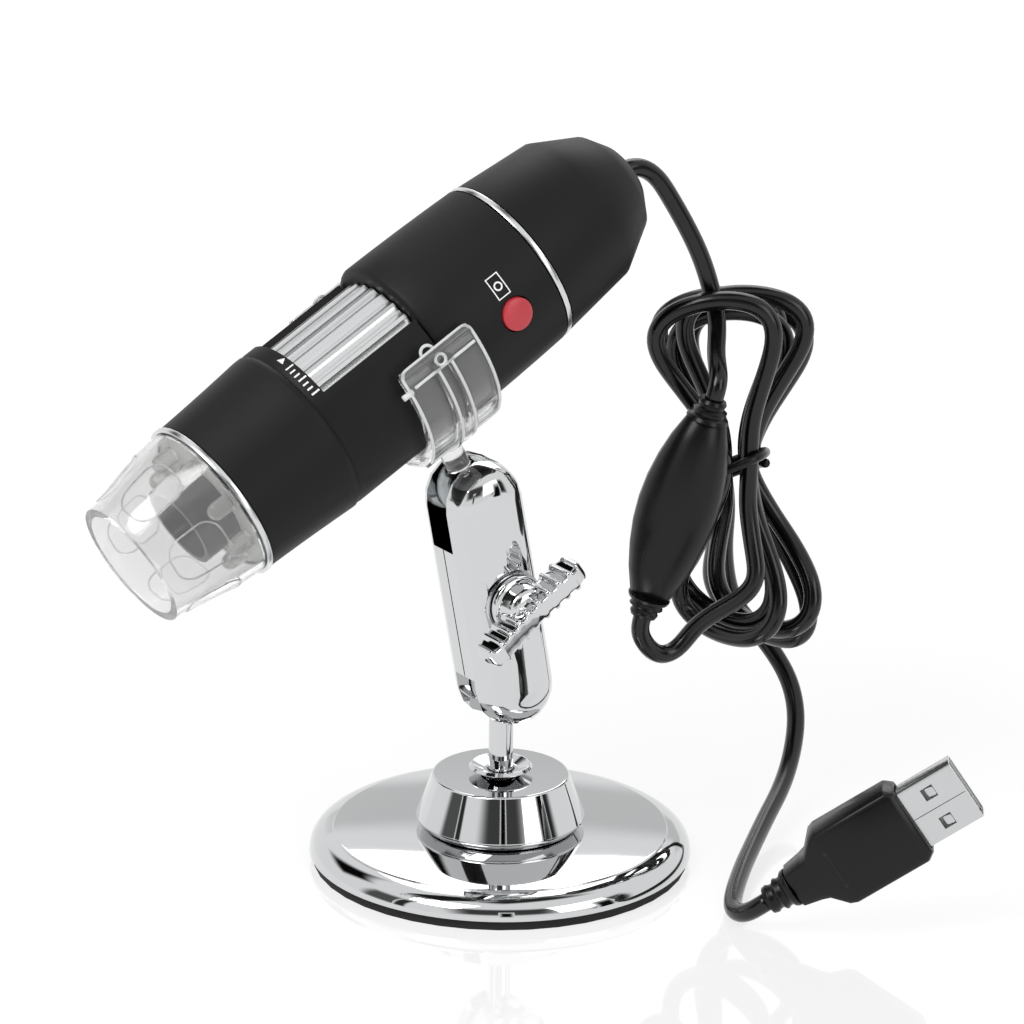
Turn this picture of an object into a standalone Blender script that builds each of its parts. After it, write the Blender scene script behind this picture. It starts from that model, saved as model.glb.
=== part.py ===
# Handheld digital microscope on a ball-jointed desk stand, with its cord in a hank.
# Metres, +Z up. The origin is the middle of the foot, on the surface that the stand stands on.
import bmesh
import bpy
import math
from mathutils import Matrix, Vector

# Gap between pieces that touch, and running gap between pieces that move.
FACE_GAP = 0.0003
RUN_GAP = 0.0003
OVERRUN = 0.002

# Directions of the whole: plan heading of the barrel, its rise, and the lean of the arm.
HEADING_DEG = 34.5
BARREL_RISE_DEG = 28.0
ARM_LEAN_DEG = 11.0

# Stand foot, shell and hub.
FOOT_RADIUS = 0.0344
FOOT_THICKNESS = 0.0019
BASE_RADIUS = 0.0351
BASE_LIP_HEIGHT = 0.0007
BASE_SHELL_WALL = 0.0009
RIM_HEIGHT = 0.0040
DISC_RADIUS = 0.0307
DISC_STEP = 0.0003
DISC_RISE = 0.0009
HUB_FOOT_RADIUS = 0.0142
HUB_FOOT_HEIGHT = 0.0008
HUB_RADIUS = 0.0156
HUB_TOP_RADIUS = 0.0125
HUB_HEIGHT = 0.0085
HUB_EDGE = 0.0004
WEIGHT_RADIUS = 0.0290
SCREW_RADIUS = 0.0016
SCREW_HEAD_RADIUS = 0.0040
SCREW_HEAD_HEIGHT = 0.0018
SCREW_SLOT_WIDTH = 0.0009
SCREW_SLOT_DEPTH = 0.0007
COLLAR_RADIUS = 0.0053
COLLAR_THICKNESS = 0.0006
COLLAR_DISH = 0.0010
ROD_RADIUS = 0.00225
LOWER_BALL_HEIGHT = 0.0350
LOWER_BALL_RADIUS = 0.0058
ROD_TIP_DEPTH = 0.0030

# Arm: two half shells that clamp the two balls.
BALL_SPACING = 0.0393
ARM_HALF_WIDTH = 0.0075
ARM_TOP_REACH = 0.0057
ARM_BOTTOM_REACH = 0.0074
ARM_FRONT_DEPTH = 0.0090
ARM_BACK_DEPTH = 0.0068
ARM_SIDE_SHARE = 0.42
ARM_SHOULDER_SHARES = ((0.62, 0.05), (0.80, 0.16), (0.92, 0.36), (0.97, 0.62))
ARM_END_STEPS = 8
POCKET_HALF_WIDTH = 0.0054
POCKET_DEPTH = 0.0050
POCKET_HALF_LENGTH = 0.0125
SLOT_HALF_GAP = 0.0032
SLOT_BACK_REACH = 0.0052
SLOT_SIDE_REACH = 0.0150
TOP_SLOT_DROP = 0.0098
BOTTOM_SLOT_CLIMB = 0.0036
BOLT_RADIUS = 0.0020
BOLT_DROP = 0.0010
BOLT_HEAD_RADIUS = 0.0036
BOLT_HEAD_HEIGHT = 0.0012
BOLT_HEAD_SINK = 0.0009
KNOB_PITCH = 0.0007

# Wing knob.
KNOB_BOSS_RADIUS = 0.0042
KNOB_BOSS_HEIGHT = 0.0038
KNOB_COLLAR_RADIUS = 0.0053
KNOB_COLLAR_HEIGHT = 0.0012
KNOB_WASHER_RADIUS = 0.0058
KNOB_WASHER_THICKNESS = 0.0007
WING_SPAN = 0.0124
WING_HALF_THICKNESS = 0.0023
WING_ROOT = 0.0006
WING_TOP = 0.0084
WING_RIB_DEPTH = 0.0005
WING_RIB_WIDTH = 0.0011
WING_TIP_RADIUS = 0.0032
WING_RIBS = 4
KNOB_TURN_DEG = 25.0

# Upper ball and the clear cradle on it.
UPPER_BALL_RADIUS = 0.0059
BALL_TO_AXIS = 0.0320
STEM_AT = 0.0435
CRADLE_AT = 0.0420
CRADLE_LENGTH = 0.0158
CRADLE_WALL = 0.0016
CRADLE_GRIP_DEG = 20.0
CRADLE_RIB_HEIGHT = 0.0010
CRADLE_RIB_WIDTH = 0.0011
CRADLE_RIB_GAP = 0.0019
CRADLE_LIP_RADIUS = 0.0010
CRADLE_FOOT_HALF_WIDTH = 0.0052
STEM_HALF_WIDTH = 0.0023
STEM_SEAT_DEPTH = 0.0016
CRADLE_ARC_STEPS = 30

# Barrel of the scope, measured along its axis from the back edge of the front ring.
APERTURE_AT = -0.0194
APERTURE_RADIUS = 0.01155
SHROUD_MID_RADIUS = 0.0138
SHROUD_MID_AT = -0.0103
SHROUD_BACK_RADIUS = 0.0150
SHROUD_WALL = 0.0011
APERTURE_LIP = 0.0005
RING_WIDTH = 0.0013
FRONT_RING_RADIUS = 0.0156
HOUSING_WALL = 0.0013
FRONT_RADIUS = 0.01535
FLARE_RADIUS = 0.0164
FLARE_AT = 0.0182
GROOVE_AT = 0.0196
GROOVE_DEPTH = 0.0004
GROOVE_WIDTH = 0.0006
MID_RADIUS = 0.0163
WINDOW_START = 0.0225
WINDOW_END = 0.0434
WINDOW_HALF_DEG = 48.0
REAR_FACE_AT = 0.0440
REAR_LIP_RADIUS = 0.0170
REAR_LIP_ROUND = 0.0012
REAR_MID_RADIUS = 0.0168
REAR_MID_AT = 0.0580
REAR_RING_RADIUS = 0.0164
REAR_RING_AT = 0.0690
REAR_RING_WIDTH = 0.0013
CAP_START_RADIUS = 0.0162
CAP_SHOULDER_AT = 0.0857
CAP_SHOULDER_RADIUS = 0.0147
CAP_BEND_AT = 0.0940
CAP_BEND_RADIUS = 0.0102
CAP_CREST_AT = 0.0970
CAP_CREST_RADIUS = 0.0062
CAP_END_AT = 0.0976
CAP_FACETS = 20
BARREL_STEPS = 40
SLEEVE_RADIUS = 0.0116
SLEEVE_WALL = 0.0010

# Focus wheel, lens carrier and optics.
WHEEL_RADIUS = 0.0144
WHEEL_WALL = 0.0018
WHEEL_RIBS = 30
WHEEL_RIB_DEPTH = 0.0005
CARRIER_RADIUS = 0.0062
CARRIER_WALL = 0.0012
CARRIER_FRONT_AT = 0.0035
CARRIER_LENGTH = 0.0240
CARRIER_TRAVEL = 0.0080
LENS_RADIUS = 0.0040
LENS_THICKNESS = 0.0022
NOSE_RADIUS = 0.0078
NOSE_WALL = 0.0010
NOSE_FRONT_AT = -0.0085
BOARD_AT = -0.0012
BOARD_THICKNESS = 0.0010
BOARD_RADIUS = 0.0135
LED_COUNT = 8
LED_CIRCLE_RADIUS = 0.0106
LED_RADIUS = 0.0016
LED_LENGTH = 0.0046
SENSOR_AT = 0.0500
SENSOR_BOARD_RADIUS = 0.0138
SENSOR_BOARD_THICKNESS = 0.0012
SENSOR_CHIP_HALF = 0.0035
SENSOR_CHIP_HEIGHT = 0.0012

# Shutter button.
BUTTON_AT = 0.0597
BUTTON_SIDE_DEG = 4.5
BUTTON_RADIUS = 0.0030
BUTTON_PROUD = 0.0006
BUTTON_STROKE = 0.0005
BUTTON_CROWN = 0.0003
BUTTON_FLANGE = 0.0007
SWITCH_HALF = 0.0022
SWITCH_HEIGHT = 0.0016
SWITCH_BOARD_THICKNESS = 0.0010

# Cord, gland, dimmer and plug.
CORD_RADIUS = 0.0017
CORD_STEP = 0.0046
GLAND_RADIUS = 0.0030
GLAND_TIP_RADIUS = 0.0024
GLAND_LENGTH = 0.0006
GLAND_ROOT = 0.0030
DIMMER_LENGTH = 0.0350
DIMMER_RADIUS = 0.0076
DIMMER_DEPTH_SHARE = 0.72
DIMMER_END_RADIUS = 0.0038
DIMMER_SIDES = 16
DIMMER_CAP_RADIUS = 0.0040
DIMMER_CAP_LENGTH = 0.0042
DIMMER_CAP_GROOVE = 0.0005
DIMMER_TOP = (0.0366, 0.0060, 0.0831)
DIMMER_AIM = (0.0266, 0.0060, 0.0486)
DIMMER_WHEEL_RADIUS = 0.0046
DIMMER_WHEEL_WIDTH = 0.0026
DIMMER_WHEEL_PROUD = 0.0008
DIMMER_WHEEL_NOTCH = 0.0005
DIMMER_WHEEL_NOTCHES = 20
HANK_CENTRE = (0.0428, 0.0268, 0.0674)
HANK_HALF_HEIGHT = 0.0330
HANK_LOBE = 0.0136
HANK_WAIST_SHARE = 0.46
HANK_SWELL_SHARE = 1.62
HANK_FOOT_SHARE = 0.96
HANK_PITCH = 0.0048
HANK_OPENING = 0.0042
HANK_LOOPS = 5
HANK_POINTS = 24
HANK_SKIP = 3
HANK_FAN_DEG = 9.0
HANK_TWIST_DEG = 50.0
HANK_TILT_DEG = 19.0
HANK_LEAN_DEG = 3.0
TIE_WALL = 0.0007
TIE_SLACK = 0.0008
TIE_HEIGHT = 0.0030
PLUG_ENTRY = (0.0478, -0.0345, 0.0062)
PLUG_HEADING_DEG = -3.0
PLUG_RISE_DEG = 34.0
PLUG_RELIEF_LENGTH = 0.0058
PLUG_RELIEF_RADIUS = 0.0037
PLUG_GROOVE = 0.0005
PLUG_BODY_LENGTH = 0.0250
PLUG_HALF_WIDTH = 0.0079
PLUG_HALF_THICKNESS = 0.0041
PLUG_CORNER = 0.0016
# Along the moulding from the relief to the metal shell: place, width and thickness.
PLUG_SHAPE_SHARES = ((0.0, 0.48, 0.76), (0.14, 0.55, 0.86), (0.20, 0.60, 0.94), (0.30, 0.94, 1.0),
                     (0.35, 1.0, 1.0), (0.94, 1.0, 1.0), (1.0, 0.88, 0.84))
SHELL_LENGTH = 0.0110
SHELL_ROOT = 0.0030
SHELL_HALF_WIDTH = 0.0060
SHELL_HALF_THICKNESS = 0.00225
SHELL_WALL = 0.0003
SHELL_WINDOW_SIDE = 0.0024
SHELL_WINDOW_AT = 0.0052
SHELL_WINDOW_OFFSET = 0.0031
TONGUE_THICKNESS = 0.0018

# Route points of the free cord, chosen by hand.
CORD_TAIL_POINTS = ((0.0266, 0.0179, 0.1259), (0.0289, 0.0189, 0.1222), (0.0320, 0.0196, 0.1167),
                    (0.0352, 0.0199, 0.1100), (0.0374, 0.0198, 0.1032), (0.0386, 0.0178, 0.0975),
                    (0.0382, 0.0128, 0.0936))
CORD_CURL_POINTS = ((0.0265, 0.0068, 0.0392), (0.0290, 0.0082, 0.0364), (0.0326, 0.0100, 0.0376),
                    (0.0362, 0.0108, 0.0424))
CORD_FLOOR_POINTS = ((0.0440, 0.0450, 0.0335), (0.0495, 0.0425, 0.0275), (0.0540, 0.0385, 0.0215),
                     (0.0556, 0.0340, 0.0158), (0.0548, 0.0281, 0.0105),
                     (0.0526, 0.0196, 0.0068), (0.0493, 0.0091, 0.0046), (0.0463, -0.0020, 0.0032),
                     (0.0440, -0.0120, 0.0025), (0.0422, -0.0230, 0.0020), (0.0422, -0.0290, 0.0019),
                     (0.0442, -0.0327, 0.0029))


def clear_scene():
    for obj in list(bpy.data.objects):
        bpy.data.objects.remove(obj, do_unlink=True)


def srgb(code):
    """Linear RGBA of a hex colour."""
    parts = [int(code[i:i + 2], 16) / 255 for i in (0, 2, 4)]
    linear = [c / 12.92 if c <= 0.04045 else ((c + 0.055) / 1.055) ** 2.4 for c in parts]
    return linear + [1.0]


def material(name, code, roughness, metallic, alpha=1.0):
    found = bpy.data.materials.get(name)
    if found:
        return found
    made = bpy.data.materials.new(name)
    made.use_nodes = True
    shader = made.node_tree.nodes["Principled BSDF"]
    shader.inputs["Base Color"].default_value = srgb(code)
    shader.inputs["Roughness"].default_value = roughness
    shader.inputs["Metallic"].default_value = metallic
    shader.inputs["Alpha"].default_value = alpha
    return made


def chrome():
    return material("chrome_plate", "C9CBCD", 0.08, 1.0)


def black_coat():
    return material("soft_black_coat", "2A2A2C", 0.55, 0.0)


def black_plastic():
    return material("black_plastic", "1C1C1E", 0.40, 0.0)


def clear_plastic():
    return material("clear_plastic", "E8ECEE", 0.05, 0.0, 0.4)


def steel():
    return material("plated_steel", "B4B6B8", 0.25, 1.0)


def frame(name, place, parent=None):
    """An empty that carries the pieces of one body; place is its world matrix."""
    made = bpy.data.objects.new(name, None)
    bpy.context.scene.collection.objects.link(made)
    made.matrix_world = place
    if parent:
        made.parent = parent
        made.matrix_parent_inverse = parent.matrix_world.inverted()
    bpy.context.view_layer.update()
    return made


def axes(origin, x_dir, y_dir, z_dir):
    turn = Matrix((x_dir, y_dir, z_dir)).transposed().to_4x4()
    return Matrix.Translation(origin) @ turn


def finish(bm, name, mat, parent, local=None, smooth_deg=35.0):
    """Turn a bmesh into an object under its parent frame."""
    bmesh.ops.remove_doubles(bm, verts=bm.verts, dist=1e-6)
    bmesh.ops.dissolve_degenerate(bm, edges=bm.edges, dist=1e-7)
    bmesh.ops.recalc_face_normals(bm, faces=bm.faces)
    mesh = bpy.data.meshes.new(name)
    bm.to_mesh(mesh)
    bm.free()
    mesh.shade_smooth()
    mesh.set_sharp_from_angle(angle=math.radians(smooth_deg))
    if mat:
        mesh.materials.append(mat)
    obj = bpy.data.objects.new(name, mesh)
    bpy.context.scene.collection.objects.link(obj)
    obj.parent = parent
    if local is not None:
        obj.matrix_local = local
    return obj


def turned(name, outline, mat, parent, local=None, steps=BARREL_STEPS, flat=False):
    """A solid of revolution about local Z from a closed outline of (radius, along)."""
    bm = bmesh.new()
    loop = [bm.verts.new((radius, 0.0, along)) for radius, along in outline]
    edges = [bm.edges.new((loop[i], loop[(i + 1) % len(loop)])) for i in range(len(loop))]
    edges = [e for e in edges if max(v.co.x for v in e.verts) > 1e-9]
    bmesh.ops.spin(bm, geom=loop + edges, cent=(0, 0, 0), axis=(0, 0, 1), dvec=(0, 0, 0),
                   angle=math.tau, steps=steps, use_merge=True)
    loose = [e for e in bm.edges if not e.link_faces]
    bmesh.ops.delete(bm, geom=loose, context="EDGES")
    return finish(bm, name, mat, parent, local, 1.0 if flat else 35.0)


def lofted(name, rings, mat, parent, local=None, smooth_deg=35.0, ends=(True, True), hoop=False):
    """A closed solid through rings of equally many points.

    A flat cap closes each end that ends names; a hoop joins the last ring to the first instead.
    """
    bm = bmesh.new()
    rows = [[bm.verts.new(point) for point in ring] for ring in rings]
    count = len(rows[0])
    pairs = list(zip(rows[:-1], rows[1:])) + ([(rows[-1], rows[0])] if hoop else [])
    for low, high in pairs:
        for i in range(count):
            j = (i + 1) % count
            bm.faces.new((low[i], low[j], high[j], high[i]))
    for row, capped in zip((rows[0], rows[-1]), ends):
        if capped and not hoop:
            bm.faces.new(row)
    return finish(bm, name, mat, parent, local, smooth_deg)


def block(name, low, high, mat, parent, local=None, edge=0.0):
    """A box between two corners, its edges bevelled by edge."""
    bm = bmesh.new()
    bmesh.ops.create_cube(bm, size=1.0)
    middle = [(a + b) / 2 for a, b in zip(low, high)]
    size = [b - a for a, b in zip(low, high)]
    for vert in bm.verts:
        vert.co = Vector([vert.co[i] * size[i] + middle[i] for i in range(3)])
    if edge:
        bmesh.ops.bevel(bm, geom=list(bm.edges), offset=edge, segments=2, profile=0.5, affect="EDGES")
    return finish(bm, name, mat, parent, local)


def ball(name, radius, mat, parent, local=None, steps=20):
    bm = bmesh.new()
    bmesh.ops.create_uvsphere(bm, u_segments=steps, v_segments=steps // 2, radius=radius)
    return finish(bm, name, mat, parent, local)


def cut(target, cutter, operation="DIFFERENCE"):
    """Cut one object with another, which then stays as a hidden guide."""
    cutter.hide_render = True
    cutter.display_type = "WIRE"
    step = target.modifiers.new(cutter.name, "BOOLEAN")
    step.operation = operation
    step.object = cutter
    step.solver = "EXACT"


def disc_outline(radius, low, high):
    return ((0.0, high), (radius, high), (radius, low), (0.0, low))


def ring_outline(outer, inner, low, high):
    return ((outer, high), (outer, low), (inner, low), (inner, high))


def build_base(root):
    """Foot pad, shell, weight, hub, collar, rod and its screw."""
    pad_top = FOOT_THICKNESS
    turned("foot_pad", disc_outline(FOOT_RADIUS, 0.0, pad_top),
           material("foam_rubber", "161616", 0.9, 0.0), root)
    lip = pad_top - BASE_LIP_HEIGHT / 2 + FACE_GAP
    rim_top = lip + RIM_HEIGHT
    disc_top = rim_top + DISC_STEP + DISC_RISE
    inner = FOOT_RADIUS + FACE_GAP
    bore = ROD_RADIUS + FACE_GAP
    slope = (BASE_RADIUS - DISC_RADIUS)
    shell = [(bore, disc_top), (DISC_RADIUS, rim_top + DISC_STEP), (DISC_RADIUS, rim_top)]
    for i in range(1, 5):
        turn = math.radians(90 - 18 * i)
        shell.append((DISC_RADIUS + slope * math.cos(turn), lip + (rim_top - lip) * math.sin(turn)))
    shell += [(BASE_RADIUS, lip), (inner, lip), (inner - slope * 0.35, rim_top - BASE_SHELL_WALL * 1.4),
              (WEIGHT_RADIUS, rim_top - BASE_SHELL_WALL), (bore, disc_top - BASE_SHELL_WALL)]
    turned("base_shell", shell, chrome(), root)
    weight_top = rim_top - BASE_SHELL_WALL - FACE_GAP
    weight_low = pad_top + FACE_GAP
    weight = turned("base_weight", ring_outline(WEIGHT_RADIUS, SCREW_RADIUS + FACE_GAP, weight_low, weight_top),
                    material("cast_iron", "4A4A4C", 0.7, 0.6), root, steps=32)
    head_top = weight_low + SCREW_HEAD_HEIGHT
    cut(weight, turned("screw_recess_guide", disc_outline(SCREW_HEAD_RADIUS + FACE_GAP, -OVERRUN,
                                                          head_top + FACE_GAP), None, root))
    screw_tip = disc_top + HUB_HEIGHT / 2
    screw = turned("base_screw", ((0.0, screw_tip), (SCREW_RADIUS, screw_tip), (SCREW_RADIUS, head_top),
                                  (SCREW_HEAD_RADIUS, head_top), (SCREW_HEAD_RADIUS, weight_low),
                                  (0.0, weight_low)), steel(), root, steps=24)
    cut(screw, block("screw_slot_guide", (-SCREW_HEAD_RADIUS * 2, -SCREW_SLOT_WIDTH / 2, -OVERRUN),
                     (SCREW_HEAD_RADIUS * 2, SCREW_SLOT_WIDTH / 2, weight_low + SCREW_SLOT_DEPTH), None, root))
    hub_low = disc_top + FACE_GAP
    hub_side = hub_low + HUB_FOOT_HEIGHT
    hub_top = hub_side + HUB_HEIGHT
    turned("hub", ((bore, hub_top), (HUB_TOP_RADIUS - HUB_EDGE, hub_top), (HUB_TOP_RADIUS, hub_top - HUB_EDGE),
                   (HUB_RADIUS, hub_side + HUB_EDGE), (HUB_RADIUS - HUB_EDGE, hub_side),
                   (HUB_FOOT_RADIUS, hub_side), (HUB_FOOT_RADIUS, hub_low), (bore, hub_low)), chrome(), root)
    collar_low = hub_top + FACE_GAP
    turned("rod_collar", ((bore, collar_low + COLLAR_THICKNESS),
                          (COLLAR_RADIUS * 0.6, collar_low + COLLAR_THICKNESS),
                          (COLLAR_RADIUS, collar_low + COLLAR_THICKNESS + COLLAR_DISH),
                          (COLLAR_RADIUS + COLLAR_THICKNESS, collar_low + COLLAR_DISH),
                          (COLLAR_RADIUS * 0.6 + COLLAR_THICKNESS, collar_low), (bore, collar_low)),
           chrome(), root, steps=32)
    rod_low = screw_tip + FACE_GAP
    rod_high = LOWER_BALL_HEIGHT - LOWER_BALL_RADIUS + ROD_TIP_DEPTH
    turned("rod", disc_outline(ROD_RADIUS, rod_low, rod_high), chrome(), root, steps=24)
    return rod_high


def build_lower_ball(parent, rod_high):
    ball_obj = ball("lower_ball", LOWER_BALL_RADIUS, chrome(), parent)
    top = rod_high - LOWER_BALL_HEIGHT + FACE_GAP
    cut(ball_obj, turned("rod_hole_guide", disc_outline(ROD_RADIUS + RUN_GAP, -LOWER_BALL_RADIUS * 2, top),
                         None, parent, steps=24))


def stadium(half_width, depth, side, steps=ARM_END_STEPS):
    """Outline of one shell at a depth from the seam; local X across, Z along, Y out.

    The end arcs keep their centres, so a half width of 0 gives the crest that the shell closes on.
    """
    high = BALL_SPACING + ARM_TOP_REACH - ARM_HALF_WIDTH
    low = ARM_HALF_WIDTH - ARM_BOTTOM_REACH
    points = []
    for i in range(steps + 1):
        turn = math.pi * i / steps
        points.append((half_width * math.cos(turn), side * depth, high + half_width * math.sin(turn)))
    for i in range(steps + 1):
        turn = math.pi + math.pi * i / steps
        points.append((half_width * math.cos(turn), side * depth, low + half_width * math.sin(turn)))
    return points


def half_shell(name, side, depth, parent, bolt_bore):
    """One half of the arm, its ball seats, middle pocket, stem slots and bolt hole."""
    middle = BALL_SPACING / 2
    rings = [stadium(ARM_HALF_WIDTH, FACE_GAP / 2, side), stadium(ARM_HALF_WIDTH, depth * ARM_SIDE_SHARE, side)]
    for depth_share, inset_share in ARM_SHOULDER_SHARES:
        rings.append(stadium(ARM_HALF_WIDTH * (1 - inset_share), depth * depth_share, side))
    rings.append(stadium(0.0, depth, side))
    shell = lofted(name, rings, chrome(), parent, ends=(True, False), smooth_deg=30.0)
    lower_seat = LOWER_BALL_RADIUS + RUN_GAP
    upper_seat = UPPER_BALL_RADIUS + RUN_GAP
    cut(shell, ball(name + "_lower_seat_guide", lower_seat, None, parent))
    cut(shell, ball(name + "_upper_seat_guide", upper_seat, None, parent,
                    Matrix.Translation((0, 0, BALL_SPACING))))
    cut(shell, block(name + "_pocket_guide",
                     (-POCKET_HALF_WIDTH, -POCKET_DEPTH, middle - POCKET_HALF_LENGTH),
                     (POCKET_HALF_WIDTH, POCKET_DEPTH, middle + POCKET_HALF_LENGTH), None, parent))
    cut(shell, block(name + "_top_slot_guide",
                     (-SLOT_BACK_REACH, -SLOT_HALF_GAP, BALL_SPACING - TOP_SLOT_DROP),
                     (SLOT_SIDE_REACH, SLOT_HALF_GAP, BALL_SPACING + SLOT_SIDE_REACH), None, parent))
    cut(shell, block(name + "_bottom_slot_guide",
                     (-SLOT_BACK_REACH, -SLOT_HALF_GAP, -SLOT_SIDE_REACH),
                     (SLOT_SIDE_REACH, SLOT_HALF_GAP, BOTTOM_SLOT_CLIMB), None, parent))
    bore = turned(name + "_bolt_guide",
                  disc_outline(bolt_bore, -depth * 2, depth * 2), None, parent,
                  across(middle - BOLT_DROP), steps=24)
    cut(shell, bore)
    return shell


def across(local_z):
    """Turns a piece's Z to the arm's outward Y, at a height along the arm."""
    return Matrix.Translation((0, 0, local_z)) @ Matrix.Rotation(math.radians(-90), 4, "X")


def build_arm(arm, front):
    """Back shell, bolt and front shell with the washer that the knob bears on."""
    bolt_bore = BOLT_RADIUS + RUN_GAP
    middle = BALL_SPACING / 2 - BOLT_DROP
    back = half_shell("arm_back_shell", -1.0, ARM_BACK_DEPTH, arm, bolt_bore)
    head_low = -ARM_BACK_DEPTH + BOLT_HEAD_SINK
    recess = turned("bolt_head_guide", disc_outline(BOLT_HEAD_RADIUS + FACE_GAP, -ARM_BACK_DEPTH * 2,
                                                    head_low + FACE_GAP), None, arm, across(middle), steps=24)
    cut(back, recess)
    washer_seat = ARM_FRONT_DEPTH - KNOB_WASHER_THICKNESS
    tip = washer_seat + KNOB_WASHER_THICKNESS + KNOB_COLLAR_HEIGHT + KNOB_BOSS_HEIGHT - FACE_GAP
    turned("clamp_bolt", ((0.0, tip), (BOLT_RADIUS, tip), (BOLT_RADIUS, head_low),
                          (BOLT_HEAD_RADIUS, head_low), (BOLT_HEAD_RADIUS * 0.8, head_low - BOLT_HEAD_HEIGHT),
                          (0.0, head_low - BOLT_HEAD_HEIGHT)), steel(), arm, across(middle), steps=24)
    shell = half_shell("arm_front_shell", 1.0, ARM_FRONT_DEPTH, front, bolt_bore)
    seat = turned("washer_seat_guide", disc_outline(KNOB_WASHER_RADIUS + FACE_GAP, washer_seat,
                                                    ARM_FRONT_DEPTH * 2), None, front, across(middle), steps=32)
    cut(shell, seat)
    washer_low = washer_seat + FACE_GAP
    turned("knob_washer", ring_outline(KNOB_WASHER_RADIUS, bolt_bore, washer_low,
                                       washer_low + KNOB_WASHER_THICKNESS), steel(), front,
           across(middle), steps=32)
    return washer_low + KNOB_WASHER_THICKNESS


def build_knob(knob):
    """Boss with two ribbed wings; its frame's Z is the bolt's axis and starts at the washer."""
    low = FACE_GAP
    collar_top = low + KNOB_COLLAR_HEIGHT
    boss_top = collar_top + KNOB_BOSS_HEIGHT
    body = turned("wing_knob", ((0.0, boss_top), (KNOB_BOSS_RADIUS * 0.8, boss_top),
                                (KNOB_BOSS_RADIUS, boss_top - KNOB_BOSS_RADIUS * 0.2),
                                (KNOB_BOSS_RADIUS, collar_top), (KNOB_COLLAR_RADIUS, collar_top),
                                (KNOB_COLLAR_RADIUS, low), (0.0, low)), chrome(), knob, steps=32)
    root_low = collar_top + WING_ROOT
    centre_x = WING_SPAN - WING_TIP_RADIUS
    centre_z = WING_TOP - WING_TIP_RADIUS
    right = [(centre_x + WING_TIP_RADIUS * math.cos(t), centre_z + WING_TIP_RADIUS * math.sin(t))
             for t in [math.radians(-60 + 25 * i) for i in range(7)]]
    left = [(-x, z) for x, z in reversed(right)]
    dip = WING_TOP - WING_TIP_RADIUS / 2
    outline = [(0.0, root_low)] + right + [(0.0, dip)] + left
    rings = [[(x, y, z) for x, z in outline] for y in (-WING_HALF_THICKNESS, WING_HALF_THICKNESS)]
    wings = lofted("wing_guide", rings, None, knob)
    for sign in (-1, 1):
        for i in range(WING_RIBS):
            at = sign * (KNOB_BOSS_RADIUS + (i + 0.2) * (WING_SPAN - KNOB_BOSS_RADIUS) / WING_RIBS)
            top = WING_TOP - WING_TIP_RADIUS / 2 * (1 - abs(at) / WING_SPAN) - WING_RIB_DEPTH
            cut(wings, block("wing_groove_guide_%d_%d" % (sign + 1, i),
                             (at - WING_RIB_WIDTH / 2, -WING_HALF_THICKNESS * 2, top),
                             (at + WING_RIB_WIDTH / 2, WING_HALF_THICKNESS * 2, top + WING_TOP), None, knob))
    cut(body, wings, "UNION")
    cut(body, turned("bolt_socket_guide", disc_outline(BOLT_RADIUS + RUN_GAP, -OVERRUN, boss_top - FACE_GAP * 2),
                     None, knob, steps=24))


def build_upper_ball(parent):
    """The clear ball; its frame's Z is the stem's axis."""
    obj = ball("upper_ball", UPPER_BALL_RADIUS, clear_plastic(), parent)
    floor = UPPER_BALL_RADIUS - STEM_SEAT_DEPTH - FACE_GAP
    cut(obj, turned("stem_hole_guide", disc_outline(STEM_HALF_WIDTH + RUN_GAP, floor, UPPER_BALL_RADIUS * 2),
                    None, parent, steps=24))


def arc_points(radius, start_deg, end_deg, steps):
    """Points round the barrel: X up, Y to the side; angles from the side upward."""
    out = []
    for i in range(steps + 1):
        turn = math.radians(start_deg + (end_deg - start_deg) * i / steps)
        out.append((radius * math.sin(turn), radius * math.cos(turn)))
    return out


def band(name, outer, inner, grip_deg, low, high, mat, parent, steps=CRADLE_ARC_STEPS):
    """A C-shaped band under the barrel between two places along it."""
    outline = arc_points(outer, grip_deg, -180 - grip_deg, steps)
    outline += list(reversed(arc_points(inner, grip_deg, -180 - grip_deg, steps)))
    return lofted(name, [[(x, y, z) for x, y in outline] for z in (low, high)], mat, parent)


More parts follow.
